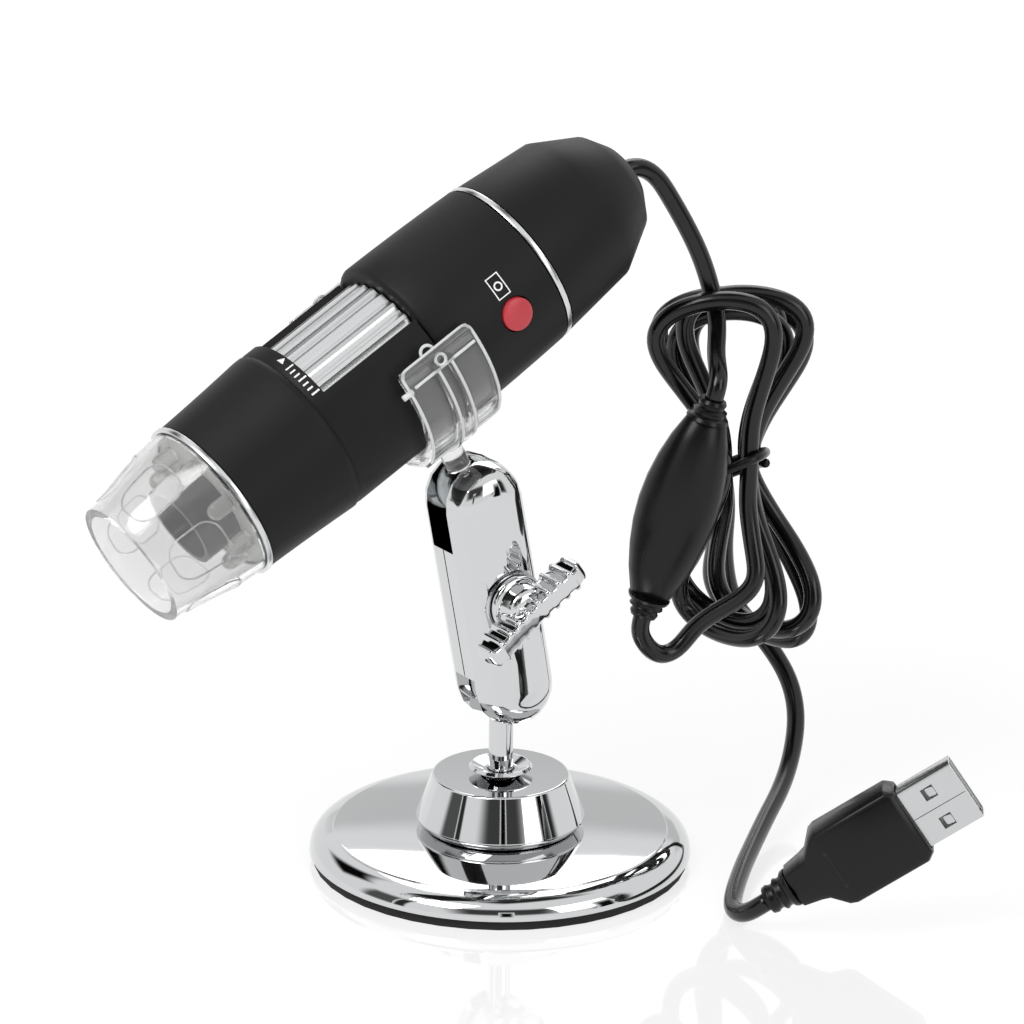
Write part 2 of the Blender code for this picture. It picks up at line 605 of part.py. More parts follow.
def build_cradle(clip):
    """The clear cradle round the barrel, its ribs, lips and foot, and the stem to the ball.

    The frame is the barrel's: X up, Y to the side, Z along.
    """
    inner = REAR_LIP_RADIUS + RUN_GAP
    outer = inner + CRADLE_WALL
    low = CRADLE_AT - CRADLE_LENGTH / 2
    high = CRADLE_AT + CRADLE_LENGTH / 2
    body = band("cradle", outer, inner, CRADLE_GRIP_DEG, low, high, clear_plastic(), clip)
    sunk = inner + CRADLE_WALL / 2
    for i, side in enumerate((-1, 1)):
        centre = CRADLE_AT + side * (CRADLE_RIB_GAP + CRADLE_RIB_WIDTH) / 2
        cut(body, band("cradle_rib_guide_%d" % i, outer + CRADLE_RIB_HEIGHT, sunk, CRADLE_GRIP_DEG - 4,
                       centre - CRADLE_RIB_WIDTH / 2, centre + CRADLE_RIB_WIDTH / 2, None, clip), "UNION")
        angle = math.radians(CRADLE_GRIP_DEG)
        middle = outer
        place = Matrix.Translation((middle * math.sin(angle), side * middle * math.cos(angle), 0.0))
        cut(body, turned("cradle_lip_guide_%d" % i, disc_outline(CRADLE_LIP_RADIUS, low + FACE_GAP, high - FACE_GAP),
                         None, clip, place, steps=12), "UNION")
    stem_end = BALL_TO_AXIS - UPPER_BALL_RADIUS + STEM_SEAT_DEPTH
    foot_low = -(outer + CRADLE_RIB_HEIGHT)
    foot = block("cradle_foot_guide", (foot_low, -CRADLE_FOOT_HALF_WIDTH, low + CRADLE_RIB_GAP),
                 (-sunk, CRADLE_FOOT_HALF_WIDTH, high - CRADLE_RIB_GAP), None, clip)
    cut(body, foot, "UNION")
    down = Matrix.Translation((0, 0, STEM_AT)) @ Matrix.Rotation(math.radians(-90), 4, "Y")
    stem = turned("stem_guide", disc_outline(STEM_HALF_WIDTH, sunk, stem_end), None, clip, down, steps=24)
    cut(body, stem, "UNION")


def smooth_three(first, middle, last, steps):
    """Points (radius, along) on the smooth curve through three of them."""
    out = []
    for i in range(steps + 1):
        at = first[1] + (last[1] - first[1]) * i / steps
        radius = 0.0
        for a, b, c in ((first, middle, last), (middle, first, last), (last, first, middle)):
            radius += a[0] * (at - b[1]) * (at - c[1]) / ((a[1] - b[1]) * (a[1] - c[1]))
        out.append((radius, at))
    return out


def radial(angle_deg, along):
    """A piece's place with its Z pointing out of the barrel at an angle round it."""
    turn = math.radians(angle_deg)
    out = Vector((math.sin(turn), math.cos(turn), 0.0))
    length = Vector((0.0, 0.0, 1.0))
    side = length.cross(out)
    return axes(Vector((0.0, 0.0, along)), side, length, out)


def build_front(scope):
    """Clear shroud, front ring, lens hood, light board and its lamps."""
    back = -RING_WIDTH - FACE_GAP
    outer = smooth_three((APERTURE_RADIUS, APERTURE_AT), (SHROUD_MID_RADIUS, SHROUD_MID_AT),
                         (SHROUD_BACK_RADIUS, back), 4)
    lip = [(APERTURE_RADIUS + APERTURE_LIP, APERTURE_AT), (APERTURE_RADIUS + APERTURE_LIP, APERTURE_AT + SHROUD_WALL)]
    inner = [(radius - SHROUD_WALL, along) for radius, along in outer]
    shroud = lip + outer[1:] + list(reversed(inner))
    turned("shroud", shroud, clear_plastic(), scope)
    ring_inner = BOARD_RADIUS + FACE_GAP
    turned("front_ring", ring_outline(FRONT_RING_RADIUS, ring_inner, -RING_WIDTH, -FACE_GAP),
           material("satin_silver", "C4C6C8", 0.3, 1.0), scope)
    board_back = BOARD_AT + BOARD_THICKNESS
    turned("light_board", ring_outline(BOARD_RADIUS, NOSE_RADIUS + FACE_GAP, BOARD_AT, board_back),
           material("circuit_board", "E4E6E2", 0.5, 0.0), scope)
    turned("lens_hood", ring_outline(NOSE_RADIUS, NOSE_RADIUS - NOSE_WALL, NOSE_FRONT_AT,
                                     board_back + BOARD_THICKNESS), black_plastic(), scope, steps=32)
    for i in range(LED_COUNT):
        turn = math.tau * (i + 0.5) / LED_COUNT
        place = Matrix.Translation((LED_CIRCLE_RADIUS * math.sin(turn), LED_CIRCLE_RADIUS * math.cos(turn),
                                    BOARD_AT - FACE_GAP))
        dome = [(LED_RADIUS * math.sin(math.radians(a)), -LED_LENGTH + LED_RADIUS * (1 - math.cos(math.radians(a))))
                for a in (90, 60, 30)]
        outline = [(0.0, 0.0), (LED_RADIUS, 0.0)] + dome + [(0.0, -LED_LENGTH)]
        turned("lamp_%d" % (i + 1), outline, material("lamp_lens", "F4F4EC", 0.1, 0.0), scope, place, steps=10)


def build_housings(scope):
    """Front and rear housings, rear ring, cap, gland and the inner sleeve."""
    middle_of_flare = (FRONT_RADIUS + (FLARE_RADIUS - FRONT_RADIUS) * 0.42, FLARE_AT / 2)
    front = smooth_three((FRONT_RADIUS, 0.0), middle_of_flare, (FLARE_RADIUS, FLARE_AT), 5)
    groove = [(FLARE_RADIUS, GROOVE_AT - GROOVE_WIDTH), (FLARE_RADIUS - GROOVE_DEPTH, GROOVE_AT),
              (MID_RADIUS, GROOVE_AT + GROOVE_WIDTH)]
    end = REAR_FACE_AT - FACE_GAP
    outer = front + groove + [(MID_RADIUS, end)]
    bore = FRONT_RADIUS - HOUSING_WALL
    housing = turned("front_housing", [(MID_RADIUS - HOUSING_WALL, end), (MID_RADIUS - HOUSING_WALL, GROOVE_AT),
                                       (bore, FLARE_AT), (bore, 0.0)] + outer, black_coat(), scope)
    wedge = []
    reach = MID_RADIUS * 2
    for i in range(9):
        turn = math.radians(90 - WINDOW_HALF_DEG + WINDOW_HALF_DEG * 2 * i / 8)
        wedge.append((reach * math.sin(turn), reach * math.cos(turn)))
    wedge.append((0.0, 0.0))
    window = lofted("window_guide", [[(x, y, z) for x, y in wedge]
                                     for z in (WINDOW_START, REAR_FACE_AT + OVERRUN)], None, scope)
    cut(housing, window)
    turned("housing_collar", ring_outline(MID_RADIUS - HOUSING_WALL - FACE_GAP, SLEEVE_RADIUS + FACE_GAP,
                                          GROOVE_AT + GROOVE_WIDTH, WINDOW_START - RUN_GAP), black_plastic(), scope)
    rear_end = REAR_RING_AT - FACE_GAP
    round_in = REAR_LIP_ROUND
    lip = [(REAR_LIP_RADIUS - round_in * (1 - math.sin(math.radians(a))),
            REAR_FACE_AT + round_in * (1 - math.cos(math.radians(a)))) for a in (0, 30, 60, 90)]
    shell_end = (REAR_RING_RADIUS, rear_end)
    body = smooth_three((REAR_LIP_RADIUS, REAR_FACE_AT + round_in), (REAR_MID_RADIUS, REAR_MID_AT), shell_end, 4)
    rear_bore = min(REAR_RING_RADIUS, REAR_LIP_RADIUS) - HOUSING_WALL
    flange_in = SLEEVE_RADIUS + FACE_GAP
    outline = [(flange_in, REAR_FACE_AT)] + lip + body[1:] + \
        [(rear_bore, rear_end), (rear_bore, REAR_FACE_AT + HOUSING_WALL), (flange_in, REAR_FACE_AT + HOUSING_WALL)]
    rear = turned("rear_housing", outline, black_coat(), scope)
    hole = turned("button_hole_guide", disc_outline(BUTTON_RADIUS + RUN_GAP, REAR_RING_RADIUS * 0.6,
                                                    REAR_RING_RADIUS * 1.5), None, scope,
                  radial(BUTTON_SIDE_DEG, BUTTON_AT), steps=24)
    cut(rear, hole)
    turned("rear_ring", ring_outline(REAR_RING_RADIUS, rear_bore, REAR_RING_AT, REAR_RING_AT + REAR_RING_WIDTH - FACE_GAP),
           material("satin_silver", "C4C6C8", 0.3, 1.0), scope)
    cap_start = REAR_RING_AT + REAR_RING_WIDTH
    cap = [(CAP_START_RADIUS, cap_start), (CAP_SHOULDER_RADIUS, CAP_SHOULDER_AT), (CAP_BEND_RADIUS, CAP_BEND_AT),
           (CAP_CREST_RADIUS, CAP_CREST_AT), (GLAND_RADIUS + FACE_GAP, CAP_END_AT)]
    inside = [(GLAND_RADIUS + FACE_GAP, CAP_END_AT - HOUSING_WALL)]
    inside += [(radius - HOUSING_WALL, along - HOUSING_WALL / 2) for radius, along in reversed(cap[1:4])]
    inside += [(CAP_START_RADIUS - HOUSING_WALL, cap_start)]
    turned("rear_cap", cap + inside, black_coat(), scope, steps=BARREL_STEPS)
    gland_low = CAP_END_AT - GLAND_ROOT
    gland_high = CAP_END_AT + GLAND_LENGTH
    turned("tail_gland", ((0.0, gland_high), (GLAND_TIP_RADIUS, gland_high),
                          (GLAND_RADIUS, CAP_END_AT), (GLAND_RADIUS, gland_low), (0.0, gland_low)),
           black_plastic(), scope, steps=24)
    turned("inner_sleeve", ring_outline(SLEEVE_RADIUS, SLEEVE_RADIUS - SLEEVE_WALL, GROOVE_AT + GROOVE_WIDTH,
                                        REAR_FACE_AT + HOUSING_WALL + FACE_GAP), black_plastic(), scope, steps=40)


def build_optics(scope, wheel_frame, lens_frame):
    """Focus wheel, sliding lens carrier, lens, image sensor and its board."""
    low = WINDOW_START + RUN_GAP
    high = REAR_FACE_AT - RUN_GAP
    rings = []
    inner = WHEEL_RADIUS - WHEEL_WALL
    ends = ((inner, inner, low), (WHEEL_RADIUS, WHEEL_RADIUS - WHEEL_RIB_DEPTH, low),
            (WHEEL_RADIUS, WHEEL_RADIUS - WHEEL_RIB_DEPTH, high), (inner, inner, high))
    for crest, root, along in ends:
        ring = []
        for i in range(WHEEL_RIBS * 4):
            turn = math.tau * i / (WHEEL_RIBS * 4)
            radius = crest if i % 4 < 2 else root
            ring.append((radius * math.sin(turn), radius * math.cos(turn), along))
        rings.append(ring)
    lofted("focus_wheel", rings, chrome(), wheel_frame, smooth_deg=20.0, hoop=True)
    guide = SLEEVE_RADIUS - SLEEVE_WALL - RUN_GAP
    at = GROOVE_AT + GROOVE_WIDTH
    back = at + CARRIER_LENGTH / 2
    turned("lens_carrier", ((guide, back), (guide, back - CARRIER_WALL), (CARRIER_RADIUS, back - CARRIER_WALL),
                            (CARRIER_RADIUS, CARRIER_FRONT_AT), (CARRIER_RADIUS - CARRIER_WALL, CARRIER_FRONT_AT),
                            (CARRIER_RADIUS - CARRIER_WALL, back)), black_plastic(), lens_frame, steps=32)
    lens_low = CARRIER_FRONT_AT + CARRIER_WALL
    rim = CARRIER_RADIUS - CARRIER_WALL - FACE_GAP
    turned("lens", ((0.0, lens_low + LENS_THICKNESS), (rim, lens_low + LENS_THICKNESS * 0.75),
                    (rim, lens_low + LENS_THICKNESS * 0.25), (rim * 0.6, lens_low + LENS_THICKNESS * 0.08),
                    (0.0, lens_low)), material("lens_glass", "20304A", 0.03, 0.0), lens_frame, steps=32)
    rear_bore = min(REAR_RING_RADIUS, REAR_LIP_RADIUS) - HOUSING_WALL
    board_back = SENSOR_AT + SENSOR_BOARD_THICKNESS
    turned("sensor_board", disc_outline(rear_bore - FACE_GAP, SENSOR_AT, board_back),
           material("green_board", "1E5A34", 0.5, 0.0), scope)
    block("image_sensor", (-SENSOR_CHIP_HALF, -SENSOR_CHIP_HALF, SENSOR_AT - SENSOR_CHIP_HEIGHT - FACE_GAP),
          (SENSOR_CHIP_HALF, SENSOR_CHIP_HALF, SENSOR_AT - FACE_GAP), black_plastic(), scope)


def build_button(scope, button):
    """Shutter button, its switch and the switch's small board."""
    place = radial(BUTTON_SIDE_DEG, BUTTON_AT)
    wall_in = min(REAR_RING_RADIUS, REAR_LIP_RADIUS) - HOUSING_WALL
    flange_top = wall_in * math.cos(math.asin((BUTTON_RADIUS + BUTTON_FLANGE) / wall_in)) - RUN_GAP
    flange_low = flange_top - BUTTON_FLANGE
    face = REAR_MID_RADIUS + BUTTON_PROUD
    turned("shutter_button", ((0.0, face), (BUTTON_RADIUS * 0.7, face - BUTTON_CROWN * 0.2),
                           (BUTTON_RADIUS, face - BUTTON_CROWN), (BUTTON_RADIUS, flange_top),
                           (BUTTON_RADIUS + BUTTON_FLANGE, flange_top), (BUTTON_RADIUS + BUTTON_FLANGE, flange_low),
                           (0.0, flange_low)), material("red_plastic", "B8474E", 0.35, 0.0), button, steps=24)
    switch_top = flange_low - BUTTON_STROKE - RUN_GAP
    switch_low = switch_top - SWITCH_HEIGHT
    block("shutter_switch", (-SWITCH_HALF, -SWITCH_HALF, switch_low), (SWITCH_HALF, SWITCH_HALF, switch_top),
          black_plastic(), scope, place)
    board_top = switch_low - FACE_GAP
    reach = BUTTON_AT - SENSOR_AT - SENSOR_BOARD_THICKNESS - FACE_GAP
    block("switch_board", (-SWITCH_HALF * 2, -reach, board_top - SWITCH_BOARD_THICKNESS),
          (SWITCH_HALF * 2, SWITCH_HALF * 2, board_top), material("green_board", "1E5A34", 0.5, 0.0), scope, place)


def smooth_path(points, steps=12):
    """A dense smooth curve through hand-chosen points."""
    padded = [points[0] * 2 - points[1]] + list(points) + [points[-1] * 2 - points[-2]]
    dense = []
    for i in range(1, len(padded) - 2):
        before, first, second, after = padded[i - 1:i + 3]
        for k in range(steps):
            t = k / steps
            dense.append(((first * 2) + (second - before) * t
                          + (before * 2 - first * 5 + second * 4 - after) * t ** 2
                          + (first * 3 - before - second * 3 + after) * t ** 3) / 2)
    return dense + [points[-1]]


def stretch(dense, start, end, spacing):
    """Evenly spaced points between two lengths along a dense curve."""
    lengths = [0.0]
    for a, b in zip(dense[:-1], dense[1:]):
        lengths.append(lengths[-1] + (b - a).length)
    if end is None:
        end = lengths[-1]
    count = max(2, round((end - start) / spacing))
    out = []
    k = 0
    for i in range(count + 1):
        goal = start + (end - start) * i / count
        while k < len(lengths) - 2 and lengths[k + 1] < goal:
            k += 1
        share = (goal - lengths[k]) / max(lengths[k + 1] - lengths[k], 1e-9)
        out.append(dense[k].lerp(dense[k + 1], min(max(share, 0.0), 1.0)))
    return out, lengths[-1]


def tube(name, points, parent, sides_step):
    """A cord as a round tube along its points, with filled ends."""
    curve = bpy.data.curves.new(name, "CURVE")
    curve.dimensions = "3D"
    curve.bevel_depth = CORD_RADIUS
    curve.bevel_resolution = sides_step
    curve.use_fill_caps = True
    spline = curve.splines.new("POLY")
    spline.points.add(len(points) - 1)
    to_local = parent.matrix_world.inverted()
    for slot, point in zip(spline.points, points):
        local = to_local @ point
        slot.co = (local.x, local.y, local.z, 1.0)
    curve.materials.append(material("cord_jacket", "141416", 0.35, 0.0))
    obj = bpy.data.objects.new(name, curve)
    bpy.context.scene.collection.objects.link(obj)
    obj.parent = parent
    return obj


def hank_depth_dir():
    """The way from one layer of the hank to the next."""
    tilt = math.radians(HANK_TILT_DEG)
    return Vector((0.0, math.cos(tilt), -math.sin(tilt)))


def hank_loop_points():
    """Loops from the front layer to the back: folds top and bottom, drawn in at the waist.

    Below the waist the loops twist, so that the layers that lie behind each other at the top
    lie side by side at the bottom. The first loop stands off to let the cord in behind it.
    """
    centre = Vector(HANK_CENTRE)
    lean = Matrix.Rotation(math.radians(-HANK_LEAN_DEG), 3, "Y")
    out = []
    for i in range(HANK_LOOPS * HANK_POINTS + 1):
        share = i / (HANK_LOOPS * HANK_POINTS)
        turn = math.tau * i / HANK_POINTS
        height = -HANK_HALF_HEIGHT * math.cos(turn)
        fall = min(max(-height / HANK_HALF_HEIGHT, 0.0), 1.0)
        lobe = HANK_LOBE * (1 - (1 - HANK_FOOT_SHARE) * fall)
        wide = lobe * math.sin(turn) * (HANK_WAIST_SHARE + HANK_SWELL_SHARE * math.cos(turn) ** 2)
        opening = min(max(share * HANK_LOOPS - 0.5, 0.0) * 2, 1.0)
        depth = HANK_PITCH * HANK_LOOPS * (share - 0.5) + HANK_OPENING * (opening - 0.5)
        fan = math.radians(HANK_FAN_DEG * (share - 0.5))
        flat = Vector((wide * math.cos(fan) + height * math.sin(fan), 0.0,
                       height * math.cos(fan) - wide * math.sin(fan))) + hank_depth_dir() * depth
        twist = Matrix.Rotation(math.radians(-HANK_TWIST_DEG * fall), 3, "Z")
        out.append(centre + lean @ (twist @ flat))
    return out[HANK_SKIP:-HANK_SKIP]


def rounded_rect(half_width, half_thickness, corner, along, steps=3):
    """A rectangle with round corners; X wide, Y thick."""
    corner = min(corner, half_width * 0.999, half_thickness * 0.999)
    points = []
    for sx, sy, first in ((1, 1, 0), (-1, 1, 90), (-1, -1, 180), (1, -1, 270)):
        for i in range(steps + 1):
            turn = math.radians(first + 90 * i / steps)
            points.append((sx * (half_width - corner) + corner * math.cos(turn),
                           sy * (half_thickness - corner) + corner * math.sin(turn), along))
    return points


def ribbed_relief(name, low_radius, high_radius, low, high, parent, flip=1):
    """A short tapered strain relief with two grooves."""
    step = (high - low) / 6
    drop = DIMMER_CAP_GROOVE
    outline = [(0.0, high * flip), (high_radius, high * flip)]
    for i in range(5, -1, -1):
        radius = high_radius + (low_radius - high_radius) * (6 - i) / 6
        if i in (2, 4):
            outline += [(radius - drop, (low + step * (i + 0.3)) * flip), (radius - drop, (low + step * (i - 0.3)) * flip)]
        else:
            outline.append((radius, (low + step * i) * flip))
    outline.append((0.0, low * flip))
    return turned(name, outline, black_plastic(), parent, steps=20)


def build_dimmer(dimmer, wheel):
    """Spindle housing with a slot for its thumbwheel, and a relief at each end."""
    sides = DIMMER_SIDES
    rings = []
    for i in range(9):
        share = i / 8
        along = DIMMER_LENGTH * share
        radius = DIMMER_END_RADIUS + (DIMMER_RADIUS - DIMMER_END_RADIUS) * math.sin(math.pi * share) ** 0.85
        ring = []
        for k in range(sides):
            turn = math.tau * (k + 0.5) / sides
            ring.append((radius * math.cos(turn), radius * DIMMER_DEPTH_SHARE * math.sin(turn), along))
        rings.append(ring)
    body = lofted("dimmer_housing", rings, black_plastic(), dimmer, smooth_deg=18.0)
    half = DIMMER_WHEEL_WIDTH / 2 + RUN_GAP
    reach = DIMMER_WHEEL_RADIUS + RUN_GAP
    at = DIMMER_LENGTH / 2
    depth = DIMMER_RADIUS * DIMMER_DEPTH_SHARE + DIMMER_WHEEL_PROUD - DIMMER_WHEEL_RADIUS
    cut(body, block("wheel_slot_guide", (-half, depth - reach, at - reach),
                    (half, depth + reach * 2, at + reach), None, dimmer))
    rim = []
    count = DIMMER_WHEEL_NOTCHES * 2
    for i in range(count):
        turn = math.tau * i / count
        radius = DIMMER_WHEEL_RADIUS - (DIMMER_WHEEL_NOTCH if i % 2 else 0.0)
        rim.append((radius * math.cos(turn), radius * math.sin(turn)))
    half_wheel = DIMMER_WHEEL_WIDTH / 2
    lofted("dimmer_wheel", [[(x, y, z) for x, y in rim] for z in (-half_wheel, half_wheel)],
           black_plastic(), wheel, smooth_deg=20.0)
    tip = CORD_RADIUS * 1.4
    ribbed_relief("dimmer_relief_bottom", DIMMER_CAP_RADIUS, tip, DIMMER_LENGTH + FACE_GAP,
                  DIMMER_LENGTH + DIMMER_CAP_LENGTH, dimmer)
    ribbed_relief("dimmer_relief_top", DIMMER_CAP_RADIUS, tip, FACE_GAP, DIMMER_CAP_LENGTH, dimmer, -1)


def build_plug(plug):
    """Moulded grip with its relief, metal shell with windows, and the tongue in it."""
    ribbed_relief("plug_relief", PLUG_RELIEF_RADIUS, CORD_RADIUS * 1.5, FACE_GAP - PLUG_RELIEF_LENGTH,
                  -FACE_GAP, plug).matrix_local = Matrix.Rotation(math.pi, 4, "X") @ \
        Matrix.Translation((0, 0, PLUG_RELIEF_LENGTH))
    rings = [rounded_rect(PLUG_HALF_WIDTH * w, PLUG_HALF_THICKNESS * t, PLUG_CORNER, PLUG_BODY_LENGTH * a, 2)
             for a, w, t in PLUG_SHAPE_SHARES]
    grip = lofted("plug_grip", rings, black_plastic(), plug, smooth_deg=28.0)
    root = PLUG_BODY_LENGTH - SHELL_ROOT
    tip = PLUG_BODY_LENGTH + SHELL_LENGTH
    corner = SHELL_WALL * 2
    pocket = [rounded_rect(SHELL_HALF_WIDTH + FACE_GAP, SHELL_HALF_THICKNESS + FACE_GAP, corner, z, 1)
              for z in (root - FACE_GAP, PLUG_BODY_LENGTH + OVERRUN)]
    cut(grip, lofted("shell_pocket_guide", pocket, None, plug))
    outer = [rounded_rect(SHELL_HALF_WIDTH, SHELL_HALF_THICKNESS, corner, z, 2) for z in (root, tip)]
    inner = [rounded_rect(SHELL_HALF_WIDTH - SHELL_WALL, SHELL_HALF_THICKNESS - SHELL_WALL, SHELL_WALL, z, 2)
             for z in (tip, root)]
    shell = lofted("plug_shell", outer + inner, steel(), plug, hoop=True)
    half = SHELL_WINDOW_SIDE / 2
    at = PLUG_BODY_LENGTH + SHELL_WINDOW_AT
    for i, side in enumerate((-1, 1)):
        cut(shell, block("shell_window_guide_%d" % i,
                         (side * SHELL_WINDOW_OFFSET - half, -SHELL_HALF_THICKNESS * 2, at - half),
                         (side * SHELL_WINDOW_OFFSET + half, SHELL_HALF_THICKNESS * 2, at + half), None, plug))
    clear = SHELL_WALL + FACE_GAP
    back = -SHELL_HALF_THICKNESS + clear
    block("plug_tongue", (-SHELL_HALF_WIDTH + clear, back, root),
          (SHELL_HALF_WIDTH - clear, back + TONGUE_THICKNESS, tip - clear),
          material("white_plastic", "E6E6E6", 0.4, 0.0), plug)


def build_tie(scope):
    """The band that draws the hank in at its waist."""
    half_x = HANK_LOBE * HANK_WAIST_SHARE + CORD_RADIUS + TIE_SLACK
    half_y = (HANK_PITCH * HANK_LOOPS + HANK_OPENING) / 2 + CORD_RADIUS
    low = -TIE_HEIGHT / 2
    outer = [rounded_rect(half_x + TIE_WALL, half_y + TIE_WALL, CORD_RADIUS * 1.6 + TIE_WALL, z, 4) for z in (low, -low)]
    inner = [rounded_rect(half_x, half_y, CORD_RADIUS * 1.6, z, 4) for z in (-low, low)]
    tie = lofted("hank_tie", outer + inner, black_plastic(), None, hoop=True)
    tie.parent = scope
    tie.matrix_parent_inverse = scope.matrix_world.inverted()
    tie.matrix_basis = Matrix.Translation(HANK_CENTRE) @ Matrix.Rotation(math.radians(-HANK_LEAN_DEG), 4, "Y") \
        @ Matrix.Rotation(math.radians(-HANK_TILT_DEG), 4, "X")


def build_cord(scope, gland_tip, along_barrel, dimmer, plug):
    """The cord: barrel to dimmer, dimmer through the hank, and down to the plug.

    Each end runs straight for one diameter, square to what it meets.
    """
    spacing = CORD_STEP
    lead = CORD_RADIUS * 2
    short = CORD_RADIUS
    gap = FACE_GAP
    down = (dimmer.matrix_world.to_3x3() @ Vector((0, 0, 1))).normalized()
    top = dimmer.matrix_world @ Vector((0, 0, -DIMMER_CAP_LENGTH))
    bottom = dimmer.matrix_world @ Vector((0, 0, DIMMER_LENGTH + DIMMER_CAP_LENGTH))
    first = [gland_tip + along_barrel * short]
    first += [Vector(p) for p in CORD_TAIL_POINTS] + [top - down * lead]
    middle, length_a = stretch(smooth_path(first), 0.0, None, spacing)
    tube("cord_upper", [gland_tip + along_barrel * gap] + middle + [top - down * gap], scope, 2)
    loops = hank_loop_points()
    turn_in = [bottom + down * lead] + [Vector(p) for p in CORD_CURL_POINTS]
    heading = (plug.matrix_world.to_3x3() @ Vector((0, 0, 1))).normalized()
    entry = plug.matrix_world @ Vector((0, 0, -PLUG_RELIEF_LENGTH))
    run_out = [Vector(p) for p in CORD_FLOOR_POINTS] + [entry - heading * short]
    dense = smooth_path(turn_in + loops + run_out, 12)
    lengths = [0.0]
    for a, b in zip(dense[:-1], dense[1:]):
        lengths.append(lengths[-1] + (b - a).length)
    loops_start = lengths[len(turn_in) * 12]
    loops_end = lengths[(len(turn_in) + len(loops) - 1) * 12]
    loop_spacing = (loops_end - loops_start) / (len(loops) - 1)
    split = loops_end + lead
    wound, total = stretch(dense, 0.0, split, loop_spacing)
    leave = (wound[-1] - wound[-2]).normalized()
    meet = wound[-1] + leave * lead
    tube("cord_hank", [bottom + down * gap] + wound + [meet], scope, 1)
    free, total = stretch(dense, split + lead * 2.5, None, spacing)
    start = [meet + leave * gap, meet + leave * lead]
    tube("cord_lower", start + free + [entry - heading * gap], scope, 2)
    fine, total = stretch(dense, 0.0, None, CORD_RADIUS)
    least = 1.0
    for i in range(len(fine)):
        for j in range(i + 7, len(fine)):
            least = min(least, (fine[i] - fine[j]).length)
    print("least gap of the wound cord to itself: %.2f mm" % ((least - CORD_RADIUS * 2) * 1000))
    print("cord length with the dimmer: %.3f m" % (length_a + total + DIMMER_LENGTH + DIMMER_CAP_LENGTH * 2))


def main():
    clear_scene()
    turn = math.radians(HEADING_DEG)
    ahead = Vector((math.cos(turn), math.sin(turn), 0.0))
    side = Vector((math.sin(turn), -math.cos(turn), 0.0))
    up = Vector((0.0, 0.0, 1.0))
    root = frame("base", Matrix.Identity(4))
    rod_high = build_base(root)
    lean = math.radians(ARM_LEAN_DEG)
    arm_dir = up * math.cos(lean) - ahead * math.sin(lean)
    low_centre = Vector((0.0, 0.0, LOWER_BALL_HEIGHT))
    lower = frame("lower_ball_frame", Matrix.Translation(low_centre), root)
    build_lower_ball(lower, rod_high)
    arm = frame("arm", axes(low_centre, side.cross(arm_dir), side, arm_dir), lower)
    front = frame("clamp", arm.matrix_world.copy(), arm)
    seat = build_arm(arm, front)
    knob_place = arm.matrix_world @ across(BALL_SPACING / 2 - BOLT_DROP) @ Matrix.Translation((0, 0, seat)) \
        @ Matrix.Rotation(math.radians(KNOB_TURN_DEG), 4, "Z")
    build_knob(frame("knob", knob_place, front))
    rise = math.radians(BARREL_RISE_DEG)
    barrel = ahead * math.cos(rise) + up * math.sin(rise)
    above = side.cross(barrel)
    high_centre = low_centre + arm_dir * BALL_SPACING
    upper = frame("upper_ball_frame", axes(high_centre, side.cross(above), side, above), arm)
    build_upper_ball(upper)
    start = high_centre + above * BALL_TO_AXIS - barrel * STEM_AT
    clip = frame("clip", axes(start, above, side, barrel), upper)
    build_cradle(clip)
    scope = frame("scope", axes(start, above, side, barrel), clip)
    build_front(scope)
    build_housings(scope)
    build_optics(scope, frame("focus", scope.matrix_world.copy(), scope),
                 frame("lens_slide", scope.matrix_world.copy(), scope))
    build_button(scope, frame("button", scope.matrix_world @ radial(BUTTON_SIDE_DEG, BUTTON_AT), scope))
    top = Vector(DIMMER_TOP)
    down = (Vector(DIMMER_AIM) - top).normalized()
    depth = Vector((0.0, 1.0, 0.0))
    dimmer = frame("dimmer", axes(top, depth.cross(down), depth, down), scope)
    wheel_depth = DIMMER_RADIUS * DIMMER_DEPTH_SHARE + DIMMER_WHEEL_PROUD - DIMMER_WHEEL_RADIUS
    wheel_place = dimmer.matrix_world @ Matrix.Translation((0, wheel_depth, DIMMER_LENGTH / 2)) \
        @ Matrix.Rotation(math.radians(90), 4, "Y")
    build_dimmer(dimmer, frame("thumbwheel", wheel_place, dimmer))
    aim = math.radians(PLUG_HEADING_DEG)
    climb = math.radians(PLUG_RISE_DEG)
    floor_dir = Vector((math.cos(aim), math.sin(aim), 0.0))
    plug_dir = floor_dir * math.cos(climb) + up * math.sin(climb)
    plug_up = up * math.cos(climb) - floor_dir * math.sin(climb)
    plug_at = Vector(PLUG_ENTRY) + plug_dir * PLUG_RELIEF_LENGTH
    plug = frame("plug", axes(plug_at, plug_up, plug_dir.cross(plug_up), plug_dir), scope)
    build_plug(plug)
    build_tie(scope)
    build_cord(scope, scope.matrix_world @ Vector((0, 0, CAP_END_AT + GLAND_LENGTH)), barrel, dimmer, plug)


if __name__ == "__main__":
    main()
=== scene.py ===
"""Dresses a handheld digital microscope on its ball-jointed stand.

Lengths are in metres in the row frame: +Z up, origin under the round base.
Pieces on the barrel are placed by a radius, an angle up from the barrel's side, and a place along it.
"""
import math

import bpy
import numpy as np
from bpy.props import FloatProperty, FloatVectorProperty, IntProperty, PointerProperty
from mathutils import Matrix, Vector


